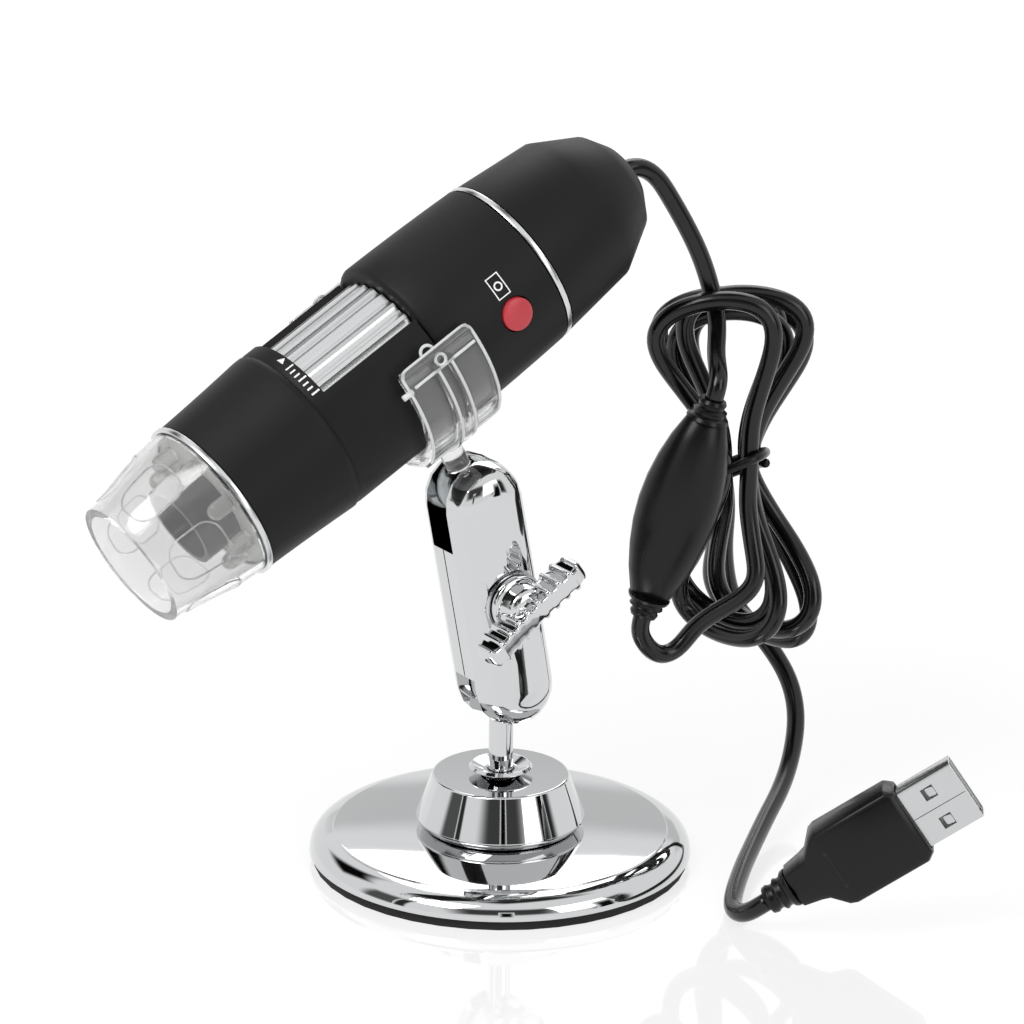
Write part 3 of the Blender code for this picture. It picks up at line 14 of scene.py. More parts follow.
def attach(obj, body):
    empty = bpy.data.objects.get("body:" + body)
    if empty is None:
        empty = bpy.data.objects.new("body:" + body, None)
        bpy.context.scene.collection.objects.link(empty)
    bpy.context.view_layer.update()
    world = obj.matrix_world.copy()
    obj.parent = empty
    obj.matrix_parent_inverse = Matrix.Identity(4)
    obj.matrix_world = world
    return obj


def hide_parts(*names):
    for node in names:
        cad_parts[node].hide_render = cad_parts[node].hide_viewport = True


bl_info = {
    "name": "Handheld microscope dresser",
    "version": (1, 0, 0),
    "blender": (4, 5, 0),
    "location": "View3D > Sidebar > Microscope",
    "description": "Finishes, cord, mouldings, printed marks and stage of a handheld microscope",
    "category": "Object",
}

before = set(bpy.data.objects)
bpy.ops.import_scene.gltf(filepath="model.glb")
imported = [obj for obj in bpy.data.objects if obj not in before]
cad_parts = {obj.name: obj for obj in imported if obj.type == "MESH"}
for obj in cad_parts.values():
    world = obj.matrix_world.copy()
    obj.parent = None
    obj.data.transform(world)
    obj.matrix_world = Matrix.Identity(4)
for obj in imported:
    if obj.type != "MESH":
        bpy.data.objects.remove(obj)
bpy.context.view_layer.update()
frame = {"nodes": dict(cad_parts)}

# The barrel's frame, from the direction that it heads in and how steeply it rises.
HEADING = math.radians(34.5)
BARREL_RISE = math.radians(28.0)
BARREL_START = np.array((-0.05021, -0.03451, 0.08141))
AHEAD = np.array((math.cos(HEADING), math.sin(HEADING), 0.0))
SIDE = np.array((math.sin(HEADING), -math.cos(HEADING), 0.0))
ALONG = AHEAD * math.cos(BARREL_RISE) + np.array((0.0, 0.0, math.sin(BARREL_RISE)))
ABOVE = np.cross(SIDE, ALONG)


def on_barrel(radius, angle, along):
    """Points at a radius, an angle from the side upward, and a place along the barrel."""
    radius, angle, along = np.broadcast_arrays(radius, angle, along)
    out = (radius * np.sin(angle))[..., None] * ABOVE + (radius * np.cos(angle))[..., None] * SIDE
    return BARREL_START + out + along[..., None] * ALONG


def srgb(code):
    """The linear colour of a hex code."""
    parts = [int(code[i:i + 2], 16) / 255 for i in (0, 2, 4)]
    return tuple(c / 12.92 if c <= 0.04045 else ((c + 0.055) / 1.055) ** 2.4 for c in parts)


def shown(colour):
    """An operator property's colour with its alpha."""
    return (colour[0], colour[1], colour[2], 1.0)


# Meshes.

TUBE_TIP = 0.000001
TUBE_AROUND = 16
TUBE_START_WAY = (0.3, 0.9, 0.2)
CURVE_STEPS = 16
RING_TIP_SHARE = 0.0001


def quads(index):
    """The four-sided faces between neighbours in a grid of vertex numbers."""
    return np.stack([index[:-1, :-1], index[:-1, 1:], index[1:, 1:], index[1:, :-1]], axis=-1).reshape(-1, 4)


def grid_mesh(name, points, mat, body, wrap_u=False, wrap_v=False, smooth_deg=180.0):
    """A mesh from a grid of points, rows by columns; wrap joins the last row or column to the first."""
    rows, columns = points.shape[:2]
    index = np.arange(rows * columns).reshape(rows, columns)
    if wrap_u:
        index = np.vstack([index, index[:1]])
    if wrap_v:
        index = np.hstack([index, index[:, :1]])
    return mesh_object(name, points.reshape(-1, 3), quads(index), mat, body, smooth_deg)


def joined(grids):
    """Points and faces of several grids of rings, each ring closed on itself."""
    points, faces, start = [], [], 0
    for grid in grids:
        rows, columns = grid.shape[:2]
        index = np.arange(rows * columns).reshape(rows, columns) + start
        faces.append(quads(np.hstack([index, index[:, :1]])))
        points.append(grid.reshape(-1, 3))
        start += rows * columns
    return np.vstack(points), np.vstack(faces)


def closed_ends(rings):
    """The rings with the first and last drawn in to their middles."""
    middle = rings[[0, -1]].mean(axis=1, keepdims=True)
    drawn = middle + (rings[[0, -1]] - middle) * RING_TIP_SHARE
    return np.concatenate([drawn[:1], rings, drawn[1:]])


def mesh_object(name, points, faces, mat, body, smooth_deg=180.0):
    """An object from point and face arrays, with its material, riding on a body."""
    mesh = bpy.data.meshes.new(name)
    mesh.from_pydata(points.tolist(), [], faces.tolist())
    mesh.validate()
    mesh.update()
    mesh.shade_smooth()
    if smooth_deg < 180.0:
        mesh.set_sharp_from_angle(angle=math.radians(smooth_deg))
    mesh.materials.append(mat)
    obj = bpy.data.objects.new(name, mesh)
    bpy.context.scene.collection.objects.link(obj)
    if body:
        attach(obj, body)
    return obj


def catmull(points):
    """A dense curve through the points, each span a cubic of its four neighbours."""
    points = np.asarray(points, float)
    padded = np.vstack([2 * points[0] - points[1], points, 2 * points[-1] - points[-2]])
    t = np.linspace(0, 1, CURVE_STEPS, endpoint=False)[None, :, None]
    a, b, c, d = (padded[i:len(padded) - 3 + i, None, :] for i in range(4))
    bend = (2 * a - 5 * b + 4 * c - d) * t ** 2 + (3 * b - a - 3 * c + d) * t ** 3
    dense = (2 * b + (c - a) * t + bend) / 2
    return np.vstack([dense.reshape(-1, 3), points[-1:]])


def evenly(points, spacing):
    """The same curve with points at an even spacing."""
    reach = np.concatenate([[0.0], np.cumsum(np.linalg.norm(np.diff(points, axis=0), axis=1))])
    goal = np.linspace(0.0, reach[-1], max(3, int(round(reach[-1] / spacing)) + 1))
    return np.stack([np.interp(goal, reach, points[:, k]) for k in range(3)], axis=1)


def eased(points, reach):
    """The curve with each point at the bell-weighted mean of its neighbours.

    Both ends keep their place and way.
    """
    spacing = np.linalg.norm(points[1] - points[0])
    count = int(3 * reach / spacing)
    bell = np.exp(-0.5 * (np.arange(-count, count + 1) * spacing / reach) ** 2)
    before = 2 * points[0] - points[count:0:-1]
    after = 2 * points[-1] - points[-2:-count - 2:-1]
    padded = np.vstack([before, points, after])
    return np.stack([np.convolve(padded[:, k], bell / bell.sum(), "valid") for k in range(3)], axis=1)


def carried(points):
    """A pair of directions square to a path, turned as little as they can be from station to station."""
    ahead = np.gradient(points, axis=0)
    ahead /= np.linalg.norm(ahead, axis=1)[:, None]
    first = np.cross(ahead[0], TUBE_START_WAY)
    sides = [first / np.linalg.norm(first)]
    for direction in ahead[1:]:
        turned = sides[-1] - direction * np.dot(sides[-1], direction)
        sides.append(turned / np.linalg.norm(turned))
    sides = np.array(sides)
    return sides, np.cross(ahead, sides)


def tube_grid(points, radius, around=TUBE_AROUND):
    """A circle carried along a path, with both ends drawn in to close it."""
    across, up = carried(points)
    turn = np.linspace(0, 2 * np.pi, around, endpoint=False)
    ring = np.cos(turn)[None, :, None] * across[:, None] + np.sin(turn)[None, :, None] * up[:, None]
    grid = points[:, None] + ring * radius
    first = points[0] + ring[:1] * TUBE_TIP
    last = points[-1] + ring[-1:] * TUBE_TIP
    return np.concatenate([first, grid, last])


def turned_grid(profile, turns):
    """A profile of (radius, height) points swept about the upright through a list of angles."""
    radius, height = np.array(profile).T
    turn = turns[:, None]
    return np.stack([radius * np.cos(turn), radius * np.sin(turn), height + 0 * turn], axis=-1)


# Materials.

def new_material(name, colour, roughness, metallic=0.0, **sockets):
    """A Principled material; the sockets' names come with underscores for spaces."""
    mat = bpy.data.materials.new(name)
    mat.use_nodes = True
    shader = mat.node_tree.nodes["Principled BSDF"]
    shader.inputs["Base Color"].default_value = shown(colour)
    shader.inputs["Roughness"].default_value = roughness
    shader.inputs["Metallic"].default_value = metallic
    for key, value in sockets.items():
        shader.inputs[key.replace("_", " ")].default_value = value
    return mat


def bare_material(name):
    """A material whose nodes are still to be added."""
    mat = bpy.data.materials.new(name)
    mat.use_nodes = True
    mat.node_tree.nodes.clear()
    return mat


def add_node(mat, kind, **settings):
    """Adds a node; plain names are its properties and names with in_ are its inputs."""
    node = mat.node_tree.nodes.new(kind)
    for key, value in settings.items():
        if key.startswith("in_"):
            node.inputs[key[3:].replace("_", " ")].default_value = value
        else:
            setattr(node, key, value)
    return node


def grain(mat, size_mm, depth_mm, spread, detail=4.0):
    """A fine grain from one noise of a size in mm: a bump of a depth, and a spread of roughness.

    The real grain of a coat, a mould face, ink or tumbled metal is 0.02 to 0.1 mm wide, too fine to show.
    It is drawn at 0.2 to 0.6 mm.
    """
    links = mat.node_tree.links
    shader = mat.node_tree.nodes["Principled BSDF"]
    place = add_node(mat, "ShaderNodeTexCoord")
    noise = add_node(mat, "ShaderNodeTexNoise", in_Scale=1000.0 / size_mm, in_Detail=detail)
    links.new(place.outputs["Object"], noise.inputs["Vector"])
    bump = add_node(mat, "ShaderNodeBump", in_Distance=depth_mm / 1000.0, in_Strength=1.0)
    links.new(noise.outputs["Fac"], bump.inputs["Height"])
    links.new(bump.outputs["Normal"], shader.inputs["Normal"])
    middle = shader.inputs["Roughness"].default_value
    ramp = add_node(mat, "ShaderNodeMapRange", in_To_Min=middle - spread, in_To_Max=middle + spread)
    links.new(noise.outputs["Fac"], ramp.inputs["Value"])
    links.new(ramp.outputs["Result"], shader.inputs["Roughness"])
    return mat


def chrome_plate():
    """Zinc die casting, polished, with bright nickel and chromium plate: a mirror with a faint long wave."""
    return grain(new_material("chrome plate", srgb("CDCECF"), 0.04, 1.0), 14.0, 0.0012, 0.015, 1.0)


def plated_steel():
    """Steel strip with a nickel plate, drawn and tumbled: grey metal with a soft, blurred shine."""
    return grain(new_material("nickel plated steel", srgb("C6C7C8"), 0.2, 1.0), 0.6, 0.002, 0.05)


def soft_coat():
    """ABS housing under a sprayed soft-touch polyurethane coat: near black with a wide, dull sheen."""
    mat = new_material("soft-touch coat", srgb("101011"), 0.52, 0.0, Specular_IOR_Level=0.2)
    return grain(mat, 0.22, 0.004, 0.06)


def moulded_black():
    """ABS moulding, spark-eroded mould face: black, half gloss, with fine pebbles in its highlights."""
    mat = new_material("moulded black", srgb("080809"), 0.3, 0.0, Specular_IOR_Level=0.28)
    return grain(mat, 0.35, 0.006, 0.06)


def clear_acrylic():
    """Clear acrylic moulding with a polished mould face: as clear as glass, with sharp highlights."""
    return new_material("clear acrylic", srgb("F4F7F7"), 0.02, 0.0, IOR=1.49, Transmission_Weight=1.0)


def worn_acrylic():
    """Clear acrylic moulding whose faces are hazed by fine scratches."""
    mat = new_material("hazed acrylic", srgb("EFEFEF"), 0.06, 0.0, IOR=1.49, Transmission_Weight=0.93)
    return grain(mat, 3.0, 0.003, 0.03, 2.0)


def lit_edge():
    """Rounded edge of a clear acrylic moulding, where the light that the walls guide comes out: a cloudier
    white paints that glow.
    """
    return new_material("lit acrylic edge", srgb("F2F4F4"), 0.12, 0.0, IOR=1.49, Transmission_Weight=0.35)


def satin_ring():
    """Turned aluminium ring, clear anodised: pale satin metal with a soft highlight."""
    return grain(new_material("anodised ring", srgb("D2D3D4"), 0.24, 1.0), 0.3, 0.002, 0.05)


def cord_jacket(colour):
    """Flexible PVC jacket, extruded: black and glossy, with a slow ripple in its highlight."""
    mat = new_material("cord jacket", colour, 0.2, 0.0, Specular_IOR_Level=0.4)
    return grain(mat, 5.0, 0.02, 0.05, 2.0)


def foam_pad():
    """EVA foam sheet, die cut: dull black with open pores."""
    return grain(new_material("foam pad", srgb("151515"), 0.9), 0.5, 0.03, 0.05)


def red_button(colour):
    """ABS button, moulded: red with half gloss."""
    return grain(new_material("red button", colour, 0.36), 0.4, 0.003, 0.05)


def print_white():
    """Pad-printed ink: an even, half dull white."""
    return grain(new_material("white ink", srgb("E9E9E9"), 0.5), 0.3, 0.002, 0.05)


def board(name, code):
    """Fibreglass board under a lacquer: an even colour with a slight ripple in its shine."""
    return grain(new_material(name, srgb(code), 0.4), 1.2, 0.01, 0.05)


def lens_glass():
    """Optical glass with an anti-reflex coat: dark blue with a sharp highlight."""
    return new_material("coated glass", srgb("0C1420"), 0.02, 0.0, Coat_Weight=1.0, Coat_Roughness=0.01)


def lamp_epoxy():
    """Clear epoxy lamp body, cast: a cloudy white that light passes through."""
    return new_material("lamp epoxy", srgb("F2F3F0"), 0.08, 0.0, IOR=1.5, Transmission_Weight=0.75)


def cast_iron():
    """Grey iron casting, sand face: dark, rough and dull."""
    return grain(new_material("cast iron", srgb("4A4A4C"), 0.7, 0.6), 1.0, 0.05, 0.1)


def white_tongue():
    """PBT tongue, moulded: white and half dull."""
    return grain(new_material("white moulding", srgb("E8E8E6"), 0.4), 0.4, 0.003, 0.05)


def dark_chip():
    """Image sensor under its cover glass: a dark mirror."""
    return new_material("sensor glass", srgb("101218"), 0.08, 0.0, Coat_Weight=1.0)


# Sizes and colours that a user would change.

class MicroscopeFinish(bpy.types.PropertyGroup):
    """Colours of the moulded and coated pieces."""

    button_colour: FloatVectorProperty(name="Button", description="Colour of the shutter button",
                                       subtype="COLOR", size=3, min=0.0, max=1.0, default=srgb("B8323C"))
    cord_colour: FloatVectorProperty(name="Cord jacket", description="Colour of the cord's jacket",
                                     subtype="COLOR", size=3, min=0.0, max=1.0, default=srgb("060607"))


class MicroscopeCord(bpy.types.PropertyGroup):
    """The cord and its hank."""

    radius: FloatProperty(name="Cord radius", description="Half the cord's thickness",
                          unit="LENGTH", default=0.0017)
    loops: IntProperty(name="Loops", description="Turns in the hank", default=5)
    half_height: FloatProperty(name="Half height", description="From the hank's waist to a fold",
                               unit="LENGTH", default=0.0338)
    lobe: FloatProperty(name="Lobe", description="Half the width where the hank swells",
                        unit="LENGTH", default=0.0136)
    pitch: FloatProperty(name="Pitch", description="From one layer of the hank to the next",
                         unit="LENGTH", default=0.0048)
    opening: FloatProperty(name="Opening", description="Added room behind the first loop",
                           unit="LENGTH", default=0.0042)
    twist: FloatProperty(name="Twist", description="How far the folds turn below the waist",
                         subtype="ANGLE", default=math.radians(50.0))
    centre: FloatVectorProperty(name="Centre", description="The hank's waist", subtype="TRANSLATION",
                                size=3, default=(0.0428, 0.0268, 0.0674))


class MicroscopeStage(bpy.types.PropertyGroup):
    """The camera."""

    camera_at: FloatVectorProperty(name="Camera", description="Place of the lens", subtype="TRANSLATION",
                                   size=3, default=(0.00158, -1.02226, 0.42585))
    pitch: FloatProperty(name="Pitch", description="Downward tilt of the camera", subtype="ANGLE",
                         default=math.radians(19.33))
    roll: FloatProperty(name="Roll", description="Turn of the camera about its view", subtype="ANGLE",
                        default=math.radians(0.6))
    focal_mm: FloatProperty(name="Focal length", description="For a sensor 36 mm wide", default=210.94)


# Finishes.

def chosen_materials(finish):
    """Each material once, by the CAD nodes that it goes on."""
    nodes = {}
    for mat, names in (
        (chrome_plate(), "base_shell hub rod_collar rod lower_ball arm_back_shell arm_front_shell wing_knob"),
        (plated_steel(), "base_screw clamp_bolt knob_washer plug_shell"),
        (soft_coat(), "front_housing rear_housing rear_cap"),
        (moulded_black(), "housing_collar tail_gland lens_hood inner_sleeve lens_carrier shutter_switch "
                          "dimmer_relief_top dimmer_housing dimmer_wheel dimmer_relief_bottom hank_tie "
                          "plug_relief plug_grip"),
        (clear_acrylic(), "upper_ball"),
        (worn_acrylic(), "cradle shroud"),
        (satin_ring(), "front_ring rear_ring focus_wheel"),
        (board("green board", "1F5A38"), "sensor_board switch_board"),
        (board("white board", "E4E6E2"), "light_board"),
        (foam_pad(), "foot_pad"),
        (cast_iron(), "base_weight"),
        (lens_glass(), "lens"),
        (dark_chip(), "image_sensor"),
        (lamp_epoxy(), "lamp_1 lamp_2 lamp_3 lamp_4 lamp_5 lamp_6 lamp_7 lamp_8"),
        (red_button(finish.button_colour), "shutter_button"),
        (white_tongue(), "plug_tongue"),
    ):
        for name in names.split():
            nodes[name] = mat
    return nodes


ROUND_DEG = 34.0
WELD_REACH = 0.000002
EDGE_RADII = {"plug_grip": 0.0003, "plug_relief": 0.0001, "shutter_button": 0.0002, "dimmer_housing": 0.0003,
              "front_ring": 0.0001, "rear_ring": 0.0001}


def round_edges(obj, radius, segments, over_deg):
    """Rounds the edges that are sharper than an angle."""
    edges = obj.modifiers.new("edge radius", "BEVEL")
    edges.width = radius
    edges.segments = segments
    edges.limit_method = "ANGLE"
    edges.angle_limit = math.radians(over_deg)
    return edges


def smooth_solid(node, radius):
    """Joins the solid's loose triangles, rounds its hard edges by a small radius and shades the rest smooth.

    The arm's shells take their shading from their large flat faces first, as a polished casting does.
    """
    mesh = node.data
    if "custom_normal" in mesh.attributes:
        mesh.attributes.remove(mesh.attributes["custom_normal"])
    mesh.shade_smooth()
    join = node.modifiers.new("join", "WELD")
    join.merge_threshold = WELD_REACH
    if radius:
        round_edges(node, radius, 2, ROUND_DEG).miter_outer = "MITER_ARC"
    split = node.modifiers.new("hard edges", "EDGE_SPLIT")
    split.split_angle = math.radians(ROUND_DEG)
    if node.name.startswith("arm_"):
        flat = node.modifiers.new("flat faces first", "WEIGHTED_NORMAL")
        flat.mode = "FACE_AREA_WITH_ANGLE"
        flat.keep_sharp = True


class MICROSCOPE_OT_finishes(bpy.types.Operator):
    """Gives each solid the finish of its real material"""

    bl_idname = "microscope.finishes"
    bl_label = "Finish the solids"

    def execute(self, context):
        for name, mat in chosen_materials(context.scene.microscope_finish).items():
            node = frame["nodes"][name]
            node.data.materials.clear()
            node.data.materials.append(mat)
            smooth_solid(node, EDGE_RADII.get(name, 0.0))
        return {"FINISHED"}


# The stand's turned pieces, as radius and height from the inside round.

SHELL_PROFILE = ((0.00255, 0.00705), (0.0150, 0.00668), (0.0303, 0.00616), (0.0307, 0.00610),
                 (0.0307, 0.00585), (0.0309, 0.00580), (0.0319, 0.00566), (0.0330, 0.00527),
                 (0.0340, 0.00460), (0.0347, 0.00365), (0.0350, 0.00270), (0.0351, 0.00185),
                 (0.0347, 0.00185), (0.0332, 0.00459), (0.0290, 0.00495), (0.00255, 0.00615))
HUB_PROFILE = ((0.00255, 0.01665), (0.0125, 0.01665), (0.0156, 0.00845), (0.0154, 0.00810),
               (0.0140, 0.00682), (0.00255, 0.00725))
COLLAR_PROFILE = ((0.00255, 0.01755), (0.00318, 0.01755), (0.0053, 0.01855), (0.0059, 0.01795),
                  (0.00378, 0.01695), (0.00255, 0.01695))
TURNED_STEPS = 256
TURNED_SHARP_DEG = 20.0
# Each turned piece: its name, the CAD node that it stands for, its profile and its edge radius.
TURNED_PIECES = (
    ("turned_shell", "base_shell", SHELL_PROFILE, 0.0001),
    ("turned_hub", "hub", HUB_PROFILE, 0.0003),
    ("turned_collar", "rod_collar", COLLAR_PROFILE, 0.0001),
)


class MICROSCOPE_OT_stand(bpy.types.Operator):
    """Turns the base's shell, the hub and the rod's collar"""

    bl_idname = "microscope.stand"
    bl_label = "Turn the stand"

    def execute(self, context):
        turns = np.linspace(0.0, 2 * np.pi, TURNED_STEPS, endpoint=False)
        for name, node, profile, edge in TURNED_PIECES:
            obj = grid_mesh(name, turned_grid(profile, turns), bpy.data.materials["chrome plate"], "base",
                            True, True, TURNED_SHARP_DEG)
            round_edges(obj, edge, 3, TURNED_SHARP_DEG)
            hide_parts(node)
        return {"FINISHED"}


# The cord.

TAIL_ROUTE = ((0.0266, 0.0179, 0.1259), (0.0289, 0.0189, 0.1222), (0.0320, 0.0196, 0.1167),
              (0.0352, 0.0204, 0.1100), (0.0374, 0.0206, 0.1032), (0.0386, 0.0186, 0.0975),
              (0.0382, 0.0130, 0.0936))
CURL_ROUTE = ((0.0265, 0.0068, 0.0392), (0.0290, 0.0082, 0.0364), (0.0326, 0.0100, 0.0376),
              (0.0362, 0.0108, 0.0424))
FLOOR_ROUTE = ((0.0440, 0.0450, 0.0335), (0.0495, 0.0425, 0.0275), (0.0540, 0.0385, 0.0215),
               (0.0556, 0.0340, 0.0158), (0.0548, 0.0281, 0.0105),
               (0.0526, 0.0196, 0.0068), (0.0493, 0.0091, 0.0046), (0.0463, -0.0020, 0.0032),
               (0.0440, -0.0120, 0.0025), (0.0422, -0.0230, 0.0020), (0.0422, -0.0290, 0.0019),
               (0.0442, -0.0327, 0.0029))
DIMMER_TOP = np.array((0.0366, 0.0060, 0.0831))
DIMMER_AIM = np.array((0.0266, 0.0060, 0.0486))
DIMMER_LENGTH = 0.0350
DIMMER_CAP_LENGTH = 0.0042
PLUG_ENTRY = np.array((0.0478, -0.0345, 0.0062))
PLUG_HEADING = math.radians(-3.0)
PLUG_RISE = math.radians(34.0)
GLAND_TIP_AT = 0.0982
CORD_STEP = 0.0009
CORD_EASE = 0.0022
CORD_TUCK = 0.0004
HANK_WAIST_SHARE = 0.17
HANK_SWELL_SHARE = 2.1
HANK_FOOT_SHARE = 0.96
HANK_FAN = math.radians(7.0)
HANK_STRAY_TURN = 0.382
HANK_STRAY_START = math.radians(200.0)
HANK_STRAY_SHIFT = math.radians(90.0)
HANK_STRAY_LOBE = 0.12
HANK_STRAY_HEIGHT = 0.055
HANK_TILT = math.radians(19.0)
HANK_LEAN = math.radians(3.0)
HANK_STATIONS = 24
HANK_SKIP = 3


def turned_about(axis, angle):
    """A rotation matrix as an array."""
    return np.array(Matrix.Rotation(angle, 3, axis))


def hank_points(cord):
    """Loops from front to back: up and down by a cosine, out by a sine that is drawn in at the waist.

    Each layer lies one pitch behind the last, and below the waist the loops turn about the upright.
    No two loops are alike: a slow sine, a golden share of a turn on from each loop to the next,
    leans it to a side, and another draws it in.
    """
    count = cord.loops * HANK_STATIONS
    share = np.arange(count + 1) / count
    turn = 2 * np.pi * share * cord.loops
    settled = np.clip(4 * cord.loops * np.minimum(share, 1 - share), 0.0, 1.0)
    lean = settled * np.sin(HANK_STRAY_TURN * turn + HANK_STRAY_START)
    draw = settled * (1 - np.sin(HANK_STRAY_TURN * turn + HANK_STRAY_START + HANK_STRAY_SHIFT))
    height = -cord.half_height * np.cos(turn) * (1 - HANK_STRAY_HEIGHT * draw)
    fall = np.clip(-height / cord.half_height, 0.0, 1.0)
    lobe = cord.lobe * (1 - (1 - HANK_FOOT_SHARE) * fall)
    swell = HANK_SWELL_SHARE * (1 - HANK_STRAY_LOBE * draw) * np.cos(turn) ** 2
    wide = lobe * np.sin(turn) * (HANK_WAIST_SHARE + swell)
    opening = np.clip((share * cord.loops - 0.5) * 2, 0.0, 1.0)
    depth = cord.pitch * cord.loops * (share - 0.5) + cord.opening * (opening - 0.5)
    fan = HANK_FAN * lean
    x = wide * np.cos(fan) + height * np.sin(fan)
    z = height * np.cos(fan) - wide * np.sin(fan) - depth * math.sin(HANK_TILT)
    y = depth * math.cos(HANK_TILT)
    spin = -cord.twist * fall
    flat = np.stack([x * np.cos(spin) - y * np.sin(spin), x * np.sin(spin) + y * np.cos(spin), z], axis=1)
    placed = np.array(cord.centre) + flat @ turned_about("Y", -HANK_LEAN).T
    return placed[HANK_SKIP:-HANK_SKIP]


def plug_direction():
    """The way that the plug points."""
    level = math.cos(PLUG_RISE)
    return np.array((math.cos(PLUG_HEADING) * level, math.sin(PLUG_HEADING) * level, math.sin(PLUG_RISE)))


def cord_routes(cord):
    """The cord's two stretches: barrel to dimmer, and dimmer through the hank to the plug."""
    radius = cord.radius
    down = (DIMMER_AIM - DIMMER_TOP) / np.linalg.norm(DIMMER_AIM - DIMMER_TOP)
    gland = BARREL_START + ALONG * GLAND_TIP_AT
    top = DIMMER_TOP - down * DIMMER_CAP_LENGTH
    bottom = DIMMER_TOP + down * (DIMMER_LENGTH + DIMMER_CAP_LENGTH)
    entry = plug_direction()
    tail = (gland - ALONG * CORD_TUCK, gland + ALONG * radius, TAIL_ROUTE,
            top - down * radius * 2, top + down * CORD_TUCK)
    lead = (bottom - down * CORD_TUCK, bottom + down * radius * 2, CURL_ROUTE, hank_points(cord), FLOOR_ROUTE,
            PLUG_ENTRY - entry * radius, PLUG_ENTRY + entry * CORD_TUCK)
    return [eased(evenly(catmull(np.vstack(stretch)), CORD_STEP), CORD_EASE) for stretch in (tail, lead)]


TIE_BEAD = 0.0009
TIE_AROUND = 10
TIE_STEP = 0.0005
TIE_STATIONS = 400
TIE_PITCH = 0.0021
TIE_TURNS = 1.6
TIE_SLANT = 0.35
TIE_SLACK = 0.0006


def tie_line(cord):
    """A helix round the hank's waist: a circle squared by roots of its sine and cosine.

    It rises by a pitch a turn, and slants to one side.
    """
    turn = np.linspace(0.0, 2 * np.pi * TIE_TURNS, TIE_STATIONS)
    half_x = cord.lobe * HANK_WAIST_SHARE + cord.radius + TIE_SLACK + TIE_BEAD
    half_y = (cord.pitch * cord.loops + cord.opening) / 2 + cord.radius + TIE_SLACK
    x = half_x * np.sign(np.cos(turn)) * np.sqrt(np.abs(np.cos(turn)))
    y = half_y * np.sign(np.sin(turn)) * np.sqrt(np.abs(np.sin(turn)))
    line = np.stack([x, y, TIE_SLANT * x + TIE_PITCH * (turn / (2 * np.pi) - TIE_TURNS / 2)], axis=1)
    return np.array(cord.centre) + line @ (turned_about("Y", -HANK_LEAN) @ turned_about("X", -HANK_TILT)).T


class MICROSCOPE_OT_tie(bpy.types.Operator):
    """Winds the tie round the hank's waist"""

    bl_idname = "microscope.tie"
    bl_label = "Wind the tie"

    def execute(self, context):
        line = evenly(tie_line(context.scene.microscope_cord), TIE_STEP)
        black = bpy.data.materials["moulded black"]
        obj = grid_mesh("wound_tie", tube_grid(line, TIE_BEAD, TIE_AROUND), black, "scope", wrap_v=True)
        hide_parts("hank_tie")
        return {"FINISHED"}


class MICROSCOPE_OT_cord(bpy.types.Operator):
    """Lays the cord from the barrel through the dimmer and the hank to the plug"""

    bl_idname = "microscope.cord"
    bl_label = "Lay the cord"

    def execute(self, context):
        cord = context.scene.microscope_cord
        jacket = cord_jacket(context.scene.microscope_finish.cord_colour)
        nodes = frame["nodes"]
        tail, lead = cord_routes(cord)
        for name, line, stood_for, far_end, on_it in (
            ("cord_tail", tail, ("cord_upper",), "fitting",
             ("dimmer_relief_top", "dimmer_housing", "dimmer_wheel", "dimmer_relief_bottom")),
            ("cord_lead", lead, ("cord_hank", "cord_lower"), "plug",
             ("plug_relief", "plug_grip", "plug_shell", "plug_tongue")),
        ):
            obj = grid_mesh(name, tube_grid(line, cord.radius), jacket, "scope", wrap_v=True)
            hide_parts(*stood_for)
            riders = [nodes[n] for n in on_it]
            if far_end == "plug":
                riders.append(bpy.data.objects["wound_tie"])
        return {"FINISHED"}


# Beads on the barrel.

# The radius at which a bead's angles are measured as lengths.
BEAD_RADIUS = 0.0189
BEAD_STEP = 0.0004
BEAD_AROUND = 8
FRAME_STATIONS = 96
FRAME_START = 0.01


def rounded_frame(low_deg, high_deg, low, high, corner, radius):
    """A rectangle on the barrel whose corners are quarter turns, as angles and places along."""
    half = np.array(((high_deg - low_deg) / 2 * math.pi / 180 * radius, (high - low) / 2))
    turn = np.linspace(0.0, 2 * np.pi, FRAME_STATIONS, endpoint=False) + FRAME_START
    way = np.stack([np.cos(turn), np.sin(turn)], axis=1)
    flat = np.sign(way) * (half - corner) + way * corner
    flat = np.vstack([flat, flat[:1]])
    return math.radians((low_deg + high_deg) / 2) + flat[:, 0] / radius, (low + high) / 2 + flat[:, 1]


def bead(angle, along, thickness, radius):
    """A round bead that follows angles and places along on the barrel, at one radius or a curve of them."""
    flat = evenly(np.stack([angle * BEAD_RADIUS, along, 0 * angle], axis=1), BEAD_STEP)
    at = radius(flat[:, 1]) if callable(radius) else radius
    return tube_grid(on_barrel(at, flat[:, 0] / BEAD_RADIUS, flat[:, 1]), thickness, BEAD_AROUND)


# Mouldings of the clear nose.

# The nose's outer radius at its three sections, as place along the barrel and radius.
SHROUD_RADII = ((-0.0194, 0.01155), (-0.0103, 0.0138), (-0.0016, 0.0150))
SHROUD_PANELS = 6
SHROUD_FIRST_DEG = 8.0
SHROUD_BEAD = 0.00018
PANEL_HALF_DEG = 18.0
PANEL_LOW, PANEL_HIGH = -0.0168, -0.0066
PANEL_CORNER = 0.0032


